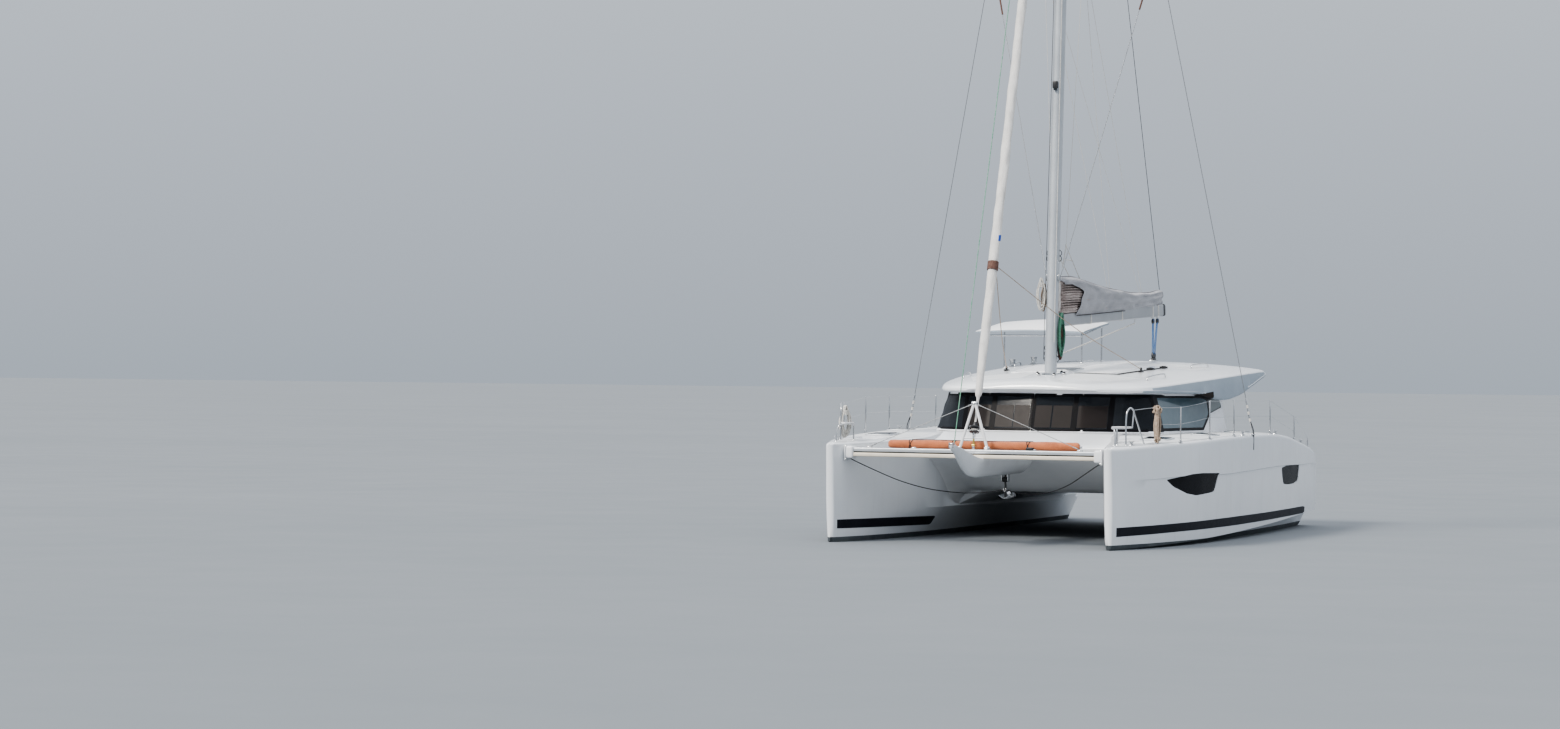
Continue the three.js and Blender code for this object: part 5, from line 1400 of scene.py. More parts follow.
def makeWires():
    tip = rig["spreaderTip"]
    for side, way in sides.items():
        foot = Vector((rig["chainplate"][0], way * rig["chainplate"][1], rig["chainplate"][2]))
        corner = Vector((tip[0], way * tip[1], tip[2]))
        hound = Vector((mastAt(rig["hounds"]) - 0.09, way * 0.04, rig["hounds"]))
        low = Vector((foot.x, foot.y, deckHeight(foot.x, foot.y) - 0.01))
        span = corner - foot
        parts = [painted(straight([foot + span * 0.072, corner], 0.0065), "wire"),
                 painted(straight([corner, hound], 0.0065), "wire")]
        line = [foot + span * t for t, _ in mastGear["screw"]]
        parts.append(painted(solid(ringsAlong(line, [r for _, r in mastGear["screw"]], 12)), "stainless"))
        plate = slab(rounded(oblong(low.x, low.y, 0.16, 0.05), 0.02), low.z, low.z + 0.016, 0.002)
        fork = block((low.x - 0.022, low.y - 0.01, low.z), (low.x + 0.022, low.y + 0.01, foot.z + 0.055), 0.005)
        parts += [painted(plate, "stainless"), painted(fork, "stainless")]
        tail = hose([foot + span * 0.03 + Vector((0.02, 0.01 * way, 0)), foot + Vector((0.035, way * 0.014, 0.1)),
                     foot + Vector((0.03, way * 0.016, -0.02)), foot + Vector((0.025, way * 0.0165, -0.12)),
                     foot + Vector((0.035, way * 0.0165, -0.235))], 0.009, 8, 5)
        parts.append(painted(tail, "blackRope"))
        end = [foot + Vector((0.026, way * 0.0165, -0.115)), foot + Vector((0.03, way * 0.0165, -0.15)),
               foot + Vector((0.036, way * 0.0165, -0.235))]
        parts.append(painted(hose(end, 0.02, 10, 4, squash=0.45), "blackRope"))
        parts += [painted(straight([foot + span * t, foot + span * (t + 0.006)], 0.02, 12), "whiteRope")
                  for t in (0.031, 0.045, 0.058)]
        finished(parts, "shroud_wire_" + side, ["cap_shroud_" + side], 50)
        z = rig["diamondFoot"]
        root = Vector((mastAt(z) - 0.01, way * 0.125, z))
        parts = [painted(straight([corner, root], 0.0055), "wire"),
                 painted(straight([corner.lerp(root, 0.1), corner.lerp(root, 0.19)], 0.016, 10), "brownBand"),
                 painted(straight([corner.lerp(root, 0.9), corner.lerp(root, 0.975)], 0.012, 10), "stainless")]
        finished(parts, "diamond_wire_" + side, smooth=50)
    x = mastAt(18.2)
    lines = {
        "fore": ("greenRope", 0.008, (x + 0.2, -0.02, 18.22), (5.42, -0.36, 1.622)),
        "side": ("whiteRope", 0.007, (mastAt(17.3) + 0.16, 0.05, 17.3), (mastAt(3.5) + 0.165, 0.1, 3.45)),
        "second": ("blackRope", 0.005, (mastAt(16.9) + 0.155, -0.06, 16.9), (mastAt(3.2) + 0.16, -0.09, 3.15)),
    }
    for name, (finish, radius, *points) in lines.items():
        finished(straight(points, radius, 7), "halyard_" + name, smooth=60, finish=finish)


def makeGenoa():
    at = eased(genoa["rings"])
    zs = [2.06, 2.2, 2.35, 2.44, 2.47, 2.5, 2.54, 2.6] + spaced(2.68, 15.4, 190) + [15.5, 15.56, 15.62, 15.7]
    random.seed(4)
    phase = [random.uniform(0, 6.28) for _ in range(5)]
    rows = []
    for z in zs:
        radius = at(z)[0]
        rough = 1 if 2.55 < z < 15.55 else 0
        ring = []
        for a in turns(28):
            turn = a - z * 3.1
            lap = 0.1 * (1 - ((turn / (2 * pi)) % 1.0))
            wave = 0.035 * sin(2 * a + z * 4.3 + phase[0]) + 0.03 * sin(3 * a - z * 6.7 + phase[1]) \
                + 0.025 * sin(5 * a + z * 11 + phase[2]) + 0.02 * sin(z * 17 + phase[3])
            r = radius * (1 + rough * (lap + wave - 0.06))
            ring.append(Vector((stayAt(z) + r * cos(a), r * sin(a), z)))
        rows.append(ring)
    roll = finished(solid(rows), "genoa_roll", ["furled_genoa"], 70, "sailCloth")
    bits = []
    low, high = genoa["band"]
    line = [(stayAt(z), 0, z) for z in spaced(low, high, 5)]
    bits.append(painted(straight(line, at((low + high) / 2)[0] * 1.16, 24), "brownBand"))
    patch = []
    for z in spaced(*genoa["mark"], 4):
        arc = [radians(a) for a in spaced(48, 84, 7)]
        patch.append([Vector((stayAt(z) + at(z)[0] * r * cos(a), at(z)[0] * r * sin(a), z))
                      for r, row in ((1.11, arc), (0.9, arc[::-1])) for a in row])
    bits.append(painted(solid(patch), "blueMark"))
    stay = [(stayAt(z), 0, z) for z in (15.65, 17.1)]
    bits.append(painted(straight(stay, 0.013, 10), "wire"))
    swivel = [(stayAt(z), 0, z) for z in (15.66, 15.9)]
    bits.append(painted(straight(swivel, 0.034, 16), "darkMetal"))
    finished(bits, "genoa_bands", smooth=50)
    line = [Vector((stayAt(z), 0, z)) for z, _ in genoa["drum"]]
    drum = painted(solid(ringsAlong(line, [r for _, r in genoa["drum"]], 26)), "darkMetal")
    coil = [painted(straight([(stayAt(z) + r * cos(a), r * sin(a), z) for a in spaced(0, 6.283, 22)], 0.006, 6),
                    "whiteRope") for z, r in ((1.915, 0.054), (1.928, 0.056), (1.942, 0.054))]
    cage = [painted(hose([(stayAt(1.78), way * 0.02, 1.78), (stayAt(1.9), way * 0.03, 1.87),
                          (stayAt(1.9), way * 0.088, 1.9), (stayAt(2.0), way * 0.088, 2.0)], 0.007, 8), "stainless")
            for way in (1, -1)]
    finished([drum, *coil, *cage], "furler_assembly", ["furler_drum"], 45)
    toggle = [painted(block((5.43, -0.022, 1.598), (5.47, 0.022, 1.66), 0.006), "stainless"),
              painted(rod((5.45, -0.03, 1.672), (5.45, 0.03, 1.672), 0.024, sides=16, bevel=0.004), "brass"),
              painted(straight([(5.449, 0, 1.66), (5.446, 0, 1.78)], [0.02, 0.015], 14), "brass"),
              painted(straight([(5.446, 0, 1.78), (5.44, 0, 1.885)], 0.013, 12), "stainless")]
    finished(toggle, "stay_toggle", smooth=45)
    clew = Vector((stayAt(genoa["clew"]) - 0.08, 0.02, genoa["clew"] - 0.02))
    x, out = genoa["sheetBlock"]
    height = roofHeight(x, out)
    for side, way in sides.items():
        y = way * out
        foot = Vector((x, y, height + 0.05))
        middle = clew.lerp(foot, 0.55) - Vector((0, 0, 0.1 if way > 0 else 0.22))
        sheetLine = hose([clew, middle, foot], 0.007, 8, 10)
        finished(sheetLine, "headsail_line_" + side, smooth=60, finish="beigeRope")
        car = [painted(block((x - 0.1, y - 0.025, height - 0.004), (x + 0.1, y + 0.025, height + 0.03), 0.008),
                       "darkMetal"),
               painted(rod((x, y - 0.014, foot.z), (x, y + 0.014, foot.z), 0.034, sides=18, bevel=0.004),
                       "darkMetal")]
        finished(car, "headsail_block_" + side, smooth=40)


# Boom and sail bag, in the boom's own direction: back from its pin, sideways, height
boom = {
    "pin": (0.9833, 0, 3.845), "swing": 4.5, "length": 5.55, "low": 3.73, "rise": 0.06, "half": 0.085, "deep": 0.23,
    # back, half breadth, height above the boom
    "bag": [(0.08, 0.15, 0.64), (0.16, 0.195, 0.68), (0.6, 0.19, 0.675), (1.2, 0.18, 0.6),
            (2.2, 0.16, 0.45), (3.05, 0.145, 0.355), (3.9, 0.125, 0.28), (4.7, 0.105, 0.262), (5.2, 0.09, 0.285),
            (5.35, 0.07, 0.28)],
    "crow": (0.8, 0.12, 5.19), "vang": (3.2, 4.0),
    "folds": 13, "opening": 0.9,  # how far the sides are cut back at the open front
}


def onBoom(back, side, z):
    a = radians(boom["swing"])
    px, py, _ = boom["pin"]
    return Vector((px - back * cos(a) + side * sin(a), py + back * sin(a) + side * cos(a), z))


def boomLow(back):
    return boom["low"] + boom["rise"] * back


def makeBoom():
    rows = []
    for back in [0.065, 0.08, *spaced(0.3, 5.3, 16), 5.46, 5.52, 5.545, 5.55]:
        z = boomLow(back)
        end = 1 if back < 5.46 else 1 - 0.3 * ((back - 5.46) / 0.09) ** 2
        outline = rounded([(-boom["half"], 0), (boom["half"], 0), (boom["half"] * 0.86, boom["deep"]),
                           (-boom["half"] * 0.86, boom["deep"])], 0.035, 3)
        rows.append([onBoom(back, s * end, z + boom["deep"] / 2 + (h - boom["deep"] / 2) * end) for s, h in outline])
    # The boom's tube takes the darker spar colour as painted shade
    tube = painted(solid(rows), "boomSparPaintedShade")
    cap = [[onBoom(b, s * 1.04, boomLow(b) + 0.115 + (h - 0.115) * 1.04) for s, h in outline] for b in (5.36, 5.44)]
    parts = [tube, painted(solid(cap), "darkMetal")]
    for back in (1.5, 3.1, 4.75, 5.05):
        z = boomLow(back)
        ring = [onBoom(back, s * 1.07, z + 0.115 + (h - 0.115) * 1.05) for s, h in outline]
        band = [[p + (onBoom(back + d, 0, 0) - onBoom(back, 0, 0)) for p in ring] for d in (0, 0.045)]
        parts.append(painted(solid(band), "whiteRope"))
    for back in (4.95, 5.2):
        eye = [onBoom(back - 0.03, 0, boomLow(back)), onBoom(back - 0.03, 0, boomLow(back) - 0.04),
               onBoom(back + 0.03, 0, boomLow(back) - 0.04), onBoom(back + 0.03, 0, boomLow(back))]
        parts.append(painted(hose(eye, 0.008, 8, 4), "stainless"))
    fork = [painted(block((-0.01, -0.012, 0), (0.075, 0.012, 0.1), 0.006), "stainless") for _ in range(2)]
    for part, z in zip(fork, (3.775, 3.83)):
        for vertex in part.data.vertices:
            x, y, h = vertex.co
            vertex.co = onBoom(x, y, z + 0.4 * h)
    parts += fork
    finished(parts, "boom_spar", ["boom"], 40, body="boom_and_bag")
    z = 3.845
    neck = [painted(slab(rounded(oblong(mastAt(z) - 0.16, 0, 0.1, 0.16), 0.02), 3.74, 3.95, 0.006), "stainless")]
    finished(neck, "gooseneck_plate")


def bagBelly(half, u):
    # u is 0 at the top seam and 1 at the boom
    return half * (0.5 + 0.5 * sin(pi * min(1, 0.12 + 0.88 * u)) ** 0.8) if u > 0.06 else half * u * 10


def makeBag():
    at = eased(boom["bag"])
    random.seed(9)
    phase = [random.uniform(0, 6.28) for _ in range(5)]
    rows = []
    for share in [0, 0.004, 0.012] + spaced(0.024, 0.996, 96) + [1]:
        row = []
        for t in spaced(-1, 1, 41):
            u = abs(t)
            front = 0.08 + boom["opening"] * min(1, max(0, (u - 0.16) / 0.22)) ** 0.7 * (1 - 0.25 * u)
            back = front + (5.35 - front) * share
            half, high = at(back)
            base = boomLow(back) + boom["deep"] * 0.78
            top = boomLow(back) + boom["deep"] + high - 0.012
            quiet = min(1, u * 4) * min(1, (1 - u) * 5 + 0.25)
            slack = 0.014 * sin(back * 4.3 + u * 5 + phase[0]) + 0.01 * sin(back * 7.1 - u * 9 + phase[1]) \
                + 0.006 * sin(back * 17 + u * 3 + phase[2]) + 0.012 * sin(u * 17 + back * 1.6 + phase[3])
            side = copysign(max(0.004, bagBelly(half, u) + slack * quiet), t) if u > 0.02 else 0.0
            sag = 0.01 * abs(sin(back * pi / 1.05)) * (1 - u)
            row.append(onBoom(back, side, base + (top - base) * (1 - u) ** 0.92 - sag))
        rows.append(row)
    cloth = skin(rows)
    applied(cloth, "SOLIDIFY", thickness=0.005, offset=0)
    cloth = finished(cloth, "sail_bag_cloth", ["sail_bag"], 70, "bagCloth", "boom_and_bag")
    print("bag cloth area", round(sum(face.area for face in cloth.data.polygons) / 2, 2))
    folds = []
    count = boom["folds"]
    for k in range(count):
        rows = []
        for back in spaced(0.11 + 0.02 * (k % 2), 2.6, 34):
            half, high = at(back)
            u = 1 - (k + 0.6) / (count + 0.6)
            middle = boomLow(back) + boom["deep"] + 0.02 + (high - 0.09) * (k + 0.3) / count
            wide = 0.82 * bagBelly(half, u) * min(1, 0.6 + (back - 0.11) * 4)
            thick = (high - 0.09) / count * 0.66
            rows.append([onBoom(back, wide * cos(a) + 0.008 * sin(back * 9 + k * 1.7),
                                middle + thick * (sin(a) + 0.25 * sin(3 * a + k)))
                         for a in turns(16)])
        folds.append(solid(rows))
    stack = finished(folds, "folded_mainsail", smooth=70, finish="sailFold", body="boom_and_bag")
    luff = [onBoom(0.1 + 0.012 * sin(z * 23), 0.03, z) for z in spaced(4.02, 4.52, 20)]
    seam = [onBoom(back, 0, boomLow(back) + boom["deep"] + at(back)[1] - 0.01) for back in spaced(0.12, 5.33, 40)]
    trim = [painted(straight(seam, 0.01), "bagCloth"), painted(hose(luff, 0.016, 8), "sailCloth")]
    for way in (1, -1):
        foot = [onBoom(back, way * 0.104, boomLow(back) + 0.176) for back in spaced(0.75, 3.2, 24)]
        trim.append(painted(straight(foot, 0.007), "rubber"))
    finished(trim, "bag_seam_and_luff", smooth=60, body="boom_and_bag")


def makeBoomLines():
    aft = onBoom(5.42, 0, boomLow(5.42) + boom["deep"])
    lift = straight([(mastAt(18.2) - 0.2, 0.0, 18.21), aft], 0.0055, 7)
    painted(lift, "blackRope")
    lift.name = "topping_lift"
    bpy.ops.object.shade_smooth()
    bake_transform(lift)
    for side, way in sides.items():
        start = Vector((0.72, way * 0.37, 10.44))
        for k, back in enumerate((0.72, 2.6, 4.3)):
            end = onBoom(back, way * 0.02, boomLow(back) + boom["deep"] + eased(boom["bag"])(back)[1] - 0.01)
            if k == 0:
                end = Vector((boom["crow"][0], way * boom["crow"][1], boom["crow"][2]))
            line = painted(straight([start, end], 0.004, 6), "whiteRope")
            line.name = "lazy_line_%s_%d" % (side, k + 1)
            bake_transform(line)
    # Split lower ends of the foremost lazy lines, and the line that holds the boom down
    legs = []
    for way in (1, -1):
        crow = Vector((boom["crow"][0], way * boom["crow"][1], boom["crow"][2]))
        ends = [onBoom(0.14, way * 0.06, 4.8), onBoom(0.9, way * 0.09, 4.63)]
        legs += [straight([crow, end], 0.009, 6) for end in ends]
        legs.append(straight([crow.lerp(end, share) for end, share in zip(ends, (0.62, 0.45))], 0.008, 6))
        legs.append(straight([crow - Vector((0, 0, 0.03)), crow + Vector((0, 0, 0.03))], 0.014))
    foot, back = boom["vang"]
    low = Vector((boom["pin"][0], 0, foot))
    high = onBoom(back, 0, boomLow(back) - 0.09)
    legs += [straight([low, high], 0.013), straight([high, onBoom(back, 0, boomLow(back) + 0.004)], 0.006)]
    finished(legs, "boom_lines", smooth=60, finish="whiteRope", body="boom_and_bag")
    lug = block((low.x - 0.015, -0.012, foot - 0.03), (mastAt(foot) - 0.12, 0.012, foot + 0.02), 0.004)
    finished(lug, "vang_lug", smooth=40, finish="stainless")
    deck = Vector((-4.15, 0.36, roofHeight(-4.15, 0.36)))
    parts = []
    top = [onBoom(b, s, boomLow(b) - 0.05) for b, s in ((4.95, 0.02), (5.02, -0.02), (5.2, 0.02), (5.26, -0.02))]
    low = [deck + Vector((dx, dy, 0.14)) for dx, dy in ((0.05, 0.02), (0.01, -0.02), (-0.04, 0.02), (-0.09, -0.02))]
    for a, b in zip(top, low):
        parts.append(painted(straight([a, b], 0.0085, 7), "blueRope"))
    for centre, radius in ((onBoom(4.99, 0, boomLow(5) - 0.09), 0.05), (onBoom(5.23, 0, boomLow(5.2) - 0.09), 0.05),
                           (deck + Vector((0.03, 0, 0.12)), 0.055), (deck + Vector((-0.065, 0, 0.12)), 0.055)):
        parts.append(painted(rod(centre - Vector((0, 0.022, 0)), centre + Vector((0, 0.022, 0)), radius, sides=20,
                                 bevel=0.008), "darkMetal"))
    tackle = joined(parts)
    tackle.name = "mainsheet_tackle"
    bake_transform(tackle)
    plate = block(deck + Vector((-0.15, -0.05, -0.004)), deck + Vector((0.13, 0.05, 0.028)), 0.01)
    track = block(deck + Vector((-0.11, -0.03, 0.024)), deck + Vector((0.09, 0.03, 0.07)), 0.012)
    base = [painted(plate, "stainless"), painted(track, "darkMetal")]
    finished(base, "mainsheet_base", smooth=40)


def hankAt(place, long, wide, strands, radius, finish, name, tilt=0.0, seed=1, lean=(0, 0)):
    # A hung coil of rope: narrow loops with a wrapped neck
    random.seed(seed)
    place = Vector(place)
    parts = []
    for k in range(strands):
        w = wide * (0.55 + 0.45 * random.random())
        h = long * (0.8 + 0.2 * random.random())
        depth = 0.03 * (random.random() - 0.5) * 2
        a0 = tilt + random.uniform(-0.35, 0.35)
        points = []
        for a in spaced(0, 2 * pi, 17):
            side, down = w / 2 * sin(a), h * (0.5 - 0.5 * cos(a))
            narrow = 0.35 + 0.65 * min(1, down / (0.45 * h))
            points.append(place + Vector((cos(a0) * depth - sin(a0) * side * narrow + lean[0] * down,
                                          sin(a0) * depth + cos(a0) * side * narrow + lean[1] * down, -down)))
        parts.append(hose(points, radius, 6, 3))
    for k in range(5):
        z = place.z - long * 0.16 - k * radius * 1.8
        ring = [Vector((place.x + lean[0] * long * 0.2 + wide * 0.2 * cos(a), place.y + lean[1] * long * 0.2 + wide
                        * 0.2 * sin(a), z)) for a in spaced(0, 2 * pi, 13)]
        parts.append(straight(ring, radius, 6))
    return finished(parts, name, smooth=70, finish=finish)


def makeRoofLines():
    # Thin lines led aft over the port side of the roof through two organisers
    spots = [(-0.7, 1.285), (-1.28, 1.37)]
    parts = []
    for x, y in spots:
        z = roofHeight(x, y)
        parts.append(block((x - 0.13, y - 0.045, z - 0.012), (x + 0.13, y + 0.045, z + 0.034), 0.01))
        for k in range(4):
            parts.append(rod((x - 0.09 + 0.06 * k, y, z + 0.03), (x - 0.09 + 0.06 * k, y, z + 0.044), 0.016, sides=14,
                             bevel=0.003))
    finished(parts, "rope_organisers", smooth=40, finish="rubber")
    lines = []
    for k in range(3):
        route = [(1.0 - 0.03 * k, 0.36 + 0.03 * k), (0.72, 1.06 + 0.025 * k), (0.0, 1.17 + 0.025 * k),
                 (spots[0][0] + 0.12, spots[0][1] - 0.02 + 0.02 * k),
                 (spots[1][0] - 0.12, spots[1][1] - 0.02 + 0.02 * k)]
        line = [(x, y, roofHeight(x, y) + 0.007) for a, b in zip(route, route[1:])
                for x, y in ((a[0] + (b[0] - a[0]) * t, a[1] + (b[1] - a[1]) * t) for t in spaced(0, 0.9, 8))]
        lines.append(straight(line, 0.006, 6))
    finished(lines, "roof_lines", smooth=60, finish="blackRope")


makeMast()
makeRoofLines()
makeMastFittings()
makeWires()
makeGenoa()
makeBoom()
makeBag()
makeBoomLines()
hankAt((mastAt(3.95) - 0.05, 0.155, 3.98), 0.8, 0.17, 8, 0.01, "hankGreen", "halyard_hank_port", 1.2, 3)
hankAt((mastAt(4.62) + 0.15, -0.17, 4.6), 0.6, 0.17, 7, 0.009, "whiteRope", "halyard_hank_fore", 0.4, 5)
hankAt((mastAt(4.5) + 0.02, -0.16, 4.5), 0.5, 0.14, 5, 0.008, "beigeRope", "halyard_hank_starboard", 0.8, 8)
hankAt((mastAt(3.7) - 0.11, 0.13, 3.72), 0.6, 0.1, 4, 0.009, "brownBand", "reef_hank", 1.0, 11)
print("rig, boom and bag")

# Guardrails with the bow seats, canopy over the helm, and the rolled sail on the beam
rails = {
    # x, y, height above the sheer, share of the lines' height
    "posts": [(3.6, 3.04, 0.61, 1), (2.2, 3.17, 0.61, 1), (0.8, 3.24, 0.61, 1),
              (-1.78, 3.256, 0.61, 1), (-3.85, 3.215, 0.61, 1), (-5.2, 3.16, 0.3, 0.48)],
    "bowPost": (4.3, 2.815, 2.345), "tube": 0.0125, "line": 0.0028,
    "arch": [(5.08, 2.52, 1.64), (5.076, 2.52, 2.14), (5.05, 2.53, 2.26), (4.985, 2.56, 2.322),
             (4.915, 2.588, 2.295), (4.87, 2.604, 2.21), (4.56, 2.705, 1.65)],
    "bench": [(5.478, 2.45, 1.63), (5.445, 2.442, 1.88), (5.415, 2.415, 1.965), (5.33, 2.35, 1.988),
              (5.02, 2.333, 1.99), (4.972, 2.331, 1.975), (4.962, 2.33, 1.92), (4.96, 2.33, 1.65)],
    "seat": [(5.345, 2.345), (5.085, 2.515), (4.955, 2.59), (4.95, 2.325)],
}


def makeGuardrails():
    def leg(x, y, top, radius):
        foot = deckHeight(x, y)
        return [rod((x, y, foot - 0.01), (x, y, top), radius, radius * 0.88, 14, 0.003),
                rod((x, y, foot - 0.005), (x, y, foot + 0.05), 0.02, 0.016, 14, 0.004),
                slab(rounded(oblong(x, y, 0.09, 0.06), 0.02), foot - 0.004, foot + 0.006, 0.002)]

    metal = [part for x, y, up, _ in rails["posts"] for part in leg(x, y, hullAt(x)[6] + up, rails["tube"])]
    metal += leg(*rails["bowPost"], rails["tube"])
    for up in (0.6, 0.32):
        points = [Vector((*rails["bowPost"][:2], 1.735 + up))]
        points += [Vector((x, y, hullAt(x)[6] + up * share)) for x, y, _, share in rails["posts"]]
        for a, b in zip(points, points[1:]):
            metal.append(hose([a, a.lerp(b, 0.5) - Vector((0, 0, 0.006)), b], rails["line"], 6, 4))
    for line in (rails["arch"], rails["bench"]):
        metal.append(hose(line, 0.0135, 12, 7))
        for x, y, _ in (line[0], line[-1]):
            foot = deckHeight(x, y)
            metal.append(rod((x, y, foot - 0.004), (x, y, foot + 0.012), 0.034, 0.028, 18, 0.003))
    for a, b, radius in (((5.33, 2.35, 1.985), (5.075, 2.52, 1.985), 0.012),
                         ((4.965, 2.333, 1.988), (4.935, 2.583, 1.998), 0.012),
                         ((4.935, 2.583, 1.995), (4.893, 2.596, 2.28), 0.012),
                         ((4.895, 2.596, 2.288), (4.3, 2.815, 2.335), 0.0045)):
        metal.append(straight([a, b], radius, 10))
    seat = slab(rounded(rails["seat"], 0.03), 1.997, 2.018, 0.006)
    parts = allPainted(metal, "stainless") + [painted(seat, "whitePaint")]
    onBothSides(parts, "guardrail_rails", ["guardrail_SIDE"], 45)


canopy = {
    # x, side edge, crown
    "rows": [(-3.35, 3.9, 3.958), (-2.9, 3.85, 3.946), (-2.5, 3.8, 3.924), (-2.05, 3.75, 3.854),
             (-1.85, 3.722, 3.798), (-1.7, 3.7, 3.738)],
    "middle": -1.37, "half": 1.07, "thick": 0.045, "posts": [(-3.17, 3.82), (-1.88, 3.62)], "postIn": 0.98,
}


def canopyTop(x, y):
    edge, crown = eased(canopy["rows"])(x)
    return edge + (crown - edge) * (1 - min(1, abs(y - canopy["middle"]) / canopy["half"]) ** 1.66)


def makeCanopy():
    thick, half, rows = canopy["thick"], canopy["half"], []
    low, high = canopy["rows"][0][0], canopy["rows"][-1][0]
    for x, share in [(low, 0.66), (low + 0.006, 0.88), (low + 0.018, 0.98),
                     *[(x, 1) for x in spaced(low + 0.03, high - 0.03, 26)], (high - 0.018, 0.98),
                     (high - 0.006, 0.88), (high, 0.66)]:
        across = [t * half for t in spaced(-1, 1, 33)]
        rows.append([])
        for sign in (1, -1):
            for y in (across if sign > 0 else reversed(across)):
                fade = 0.7 + 0.3 * sqrt(max(0.0, 1 - max(0, (abs(y) - half + 0.025) / 0.025) ** 2))
                middle = canopyTop(x, canopy["middle"] + y) - thick / 2
                rows[-1].append(Vector((x, canopy["middle"] + y, middle + sign * thick / 2 * fade * share)))
    blade = painted(solid(rows), "moulding")
    finished(blade, "canopy_blade", ["helm_bimini"], 40)
    # The canopy's underside and edges, the faces that look down or sideways, get the soffit colour as painted shade
    blade.data.materials.append(finishes["soffit"])
    for face in blade.data.polygons:
        face.material_index = int(face.normal.z < 0.25)
    tubes, sideways = [], canopy["postIn"]
    for x, z in canopy["posts"]:
        for way in (1, -1):
            y = canopy["middle"] + way * sideways
            foot = roofHeight(x, y)
            tubes.append(straight([(x, y, foot - 0.006), (x, y, canopyTop(x, y) - thick + 0.004)], 0.0155, 14))
            tubes.append(rod((x, y, foot - 0.004), (x, y, foot + 0.012), 0.04, 0.034, 18, 0.003))
            tubes.append(rod((x, y, z - 0.03), (x, y, z + 0.03), 0.021, sides=14, bevel=0.004))
        tubes.append(straight([(x, canopy["middle"] - sideways, z), (x, canopy["middle"] + sideways, z)], 0.015, 14))
    for way in (1, -1):
        y = canopy["middle"] + way * sideways
        tubes.append(straight([(x, y, z) for x, z in canopy["posts"]], 0.0135, 14))
    finished(tubes, "canopy_frame", ["bimini_frame"], 40, "stainless")


rolledSail = {
    # y, radius
    "rings": [(-1.6, 0.026), (-1.59, 0.052), (-1.56, 0.07), (-1.4, 0.078), (-0.8, 0.08), (0.0, 0.074),
              (0.9, 0.08), (1.1, 0.083), (1.7, 0.078), (1.745, 0.068), (1.768, 0.04)],
    "x": 5.2, "z": 1.6645, "zip": (-1.18, 0.96), "straps": [-1.19, -0.42, 0.885], "pole": 1.808,
}


def makeRolledSail():
    at = eased(rolledSail["rings"])
    x0, z0 = rolledSail["x"], rolledSail["z"]
    random.seed(6)
    phase = [random.uniform(0, 6.28) for _ in range(4)]
    rows = []
    for y in [-1.6, -1.597, -1.59, -1.575, -1.56] + spaced(-1.54, 1.7, 120) + [1.73, 1.75, 1.762, 1.768]:
        radius = at(y)[0]
        pinch = 1 - 0.1 * sum(exp(-((y - s) / 0.035) ** 2) for s in rolledSail["straps"])
        ring = []
        for a in turns(30):
            wave = 0.022 * sin(3 * a + y * 9 + phase[0]) + 0.018 * sin(2 * a - y * 15 + phase[1]) \
                + 0.012 * sin(5 * a + y * 31 + phase[2]) + 0.01 * sin(y * 47 + phase[3])
            r = radius * (0.965 + wave) * pinch
            ring.append(Vector((x0 + r * cos(a), y, z0 + r * sin(a))))
        rows.append(ring)
    roll = finished(solid(rows), "rolled_sail_cover", ["rolled_sail"], 70, "orangeCover")
    low, high = rolledSail["zip"]
    tape = [(x0, y, z0 + at(y)[0] * 0.965 - 0.001) for y in spaced(low, high, 40)]
    trim = [painted(straight(tape, 0.01), "rubber")]
    for y in rolledSail["straps"]:
        r = at(y)[0] * 0.93
        for lean in (-0.03, 0.03):
            loop = [(x0 + r * cos(a), y + lean * sin(a), z0 + r * sin(a)) for a in spaced(0, 2 * pi, 31)]
            trim.append(painted(straight(loop, 0.007, 6), "rubber"))
    trim.append(painted(rod((x0, 1.74, z0), (x0, rolledSail["pole"], z0), 0.022, 0.018, 16, 0.004), "stainless"))
    finished(trim, "rolled_sail_trim", smooth=50)


def knotAt(place, radius, size, finish, name, seed):
    # A ball of rope tied round a post
    random.seed(seed)
    points = []
    for _ in range(34):
        way = Vector((random.gauss(0, 1), random.gauss(0, 1), random.gauss(0, 1))).normalized()
        points.append(Vector(place) + way * size * random.uniform(0.72, 1.0))
    return finished(hose(points, radius, 6, 5), name, smooth=70, finish=finish)


makeGuardrails()
makeCanopy()
makeRolledSail()
hankAt((4.3, 2.835, 2.3), 0.56, 0.11, 9, 0.012, "beigeRope", "bow_line_port", 1.2, 21)
knotAt((4.3, 2.83, 2.285), 0.013, 0.09, "beigeRope", "bow_line_knot", 7)
knotAt((4.3, 2.835, 1.795), 0.012, 0.06, "beigeRope", "bow_line_lower_knot", 9)
hankAt((4.99, -2.47, 2.3), 0.55, 0.23, 11, 0.009, "whiteRope", "bow_line_starboard", 1.0, 31)
print("guardrails, canopy and rolled sail")

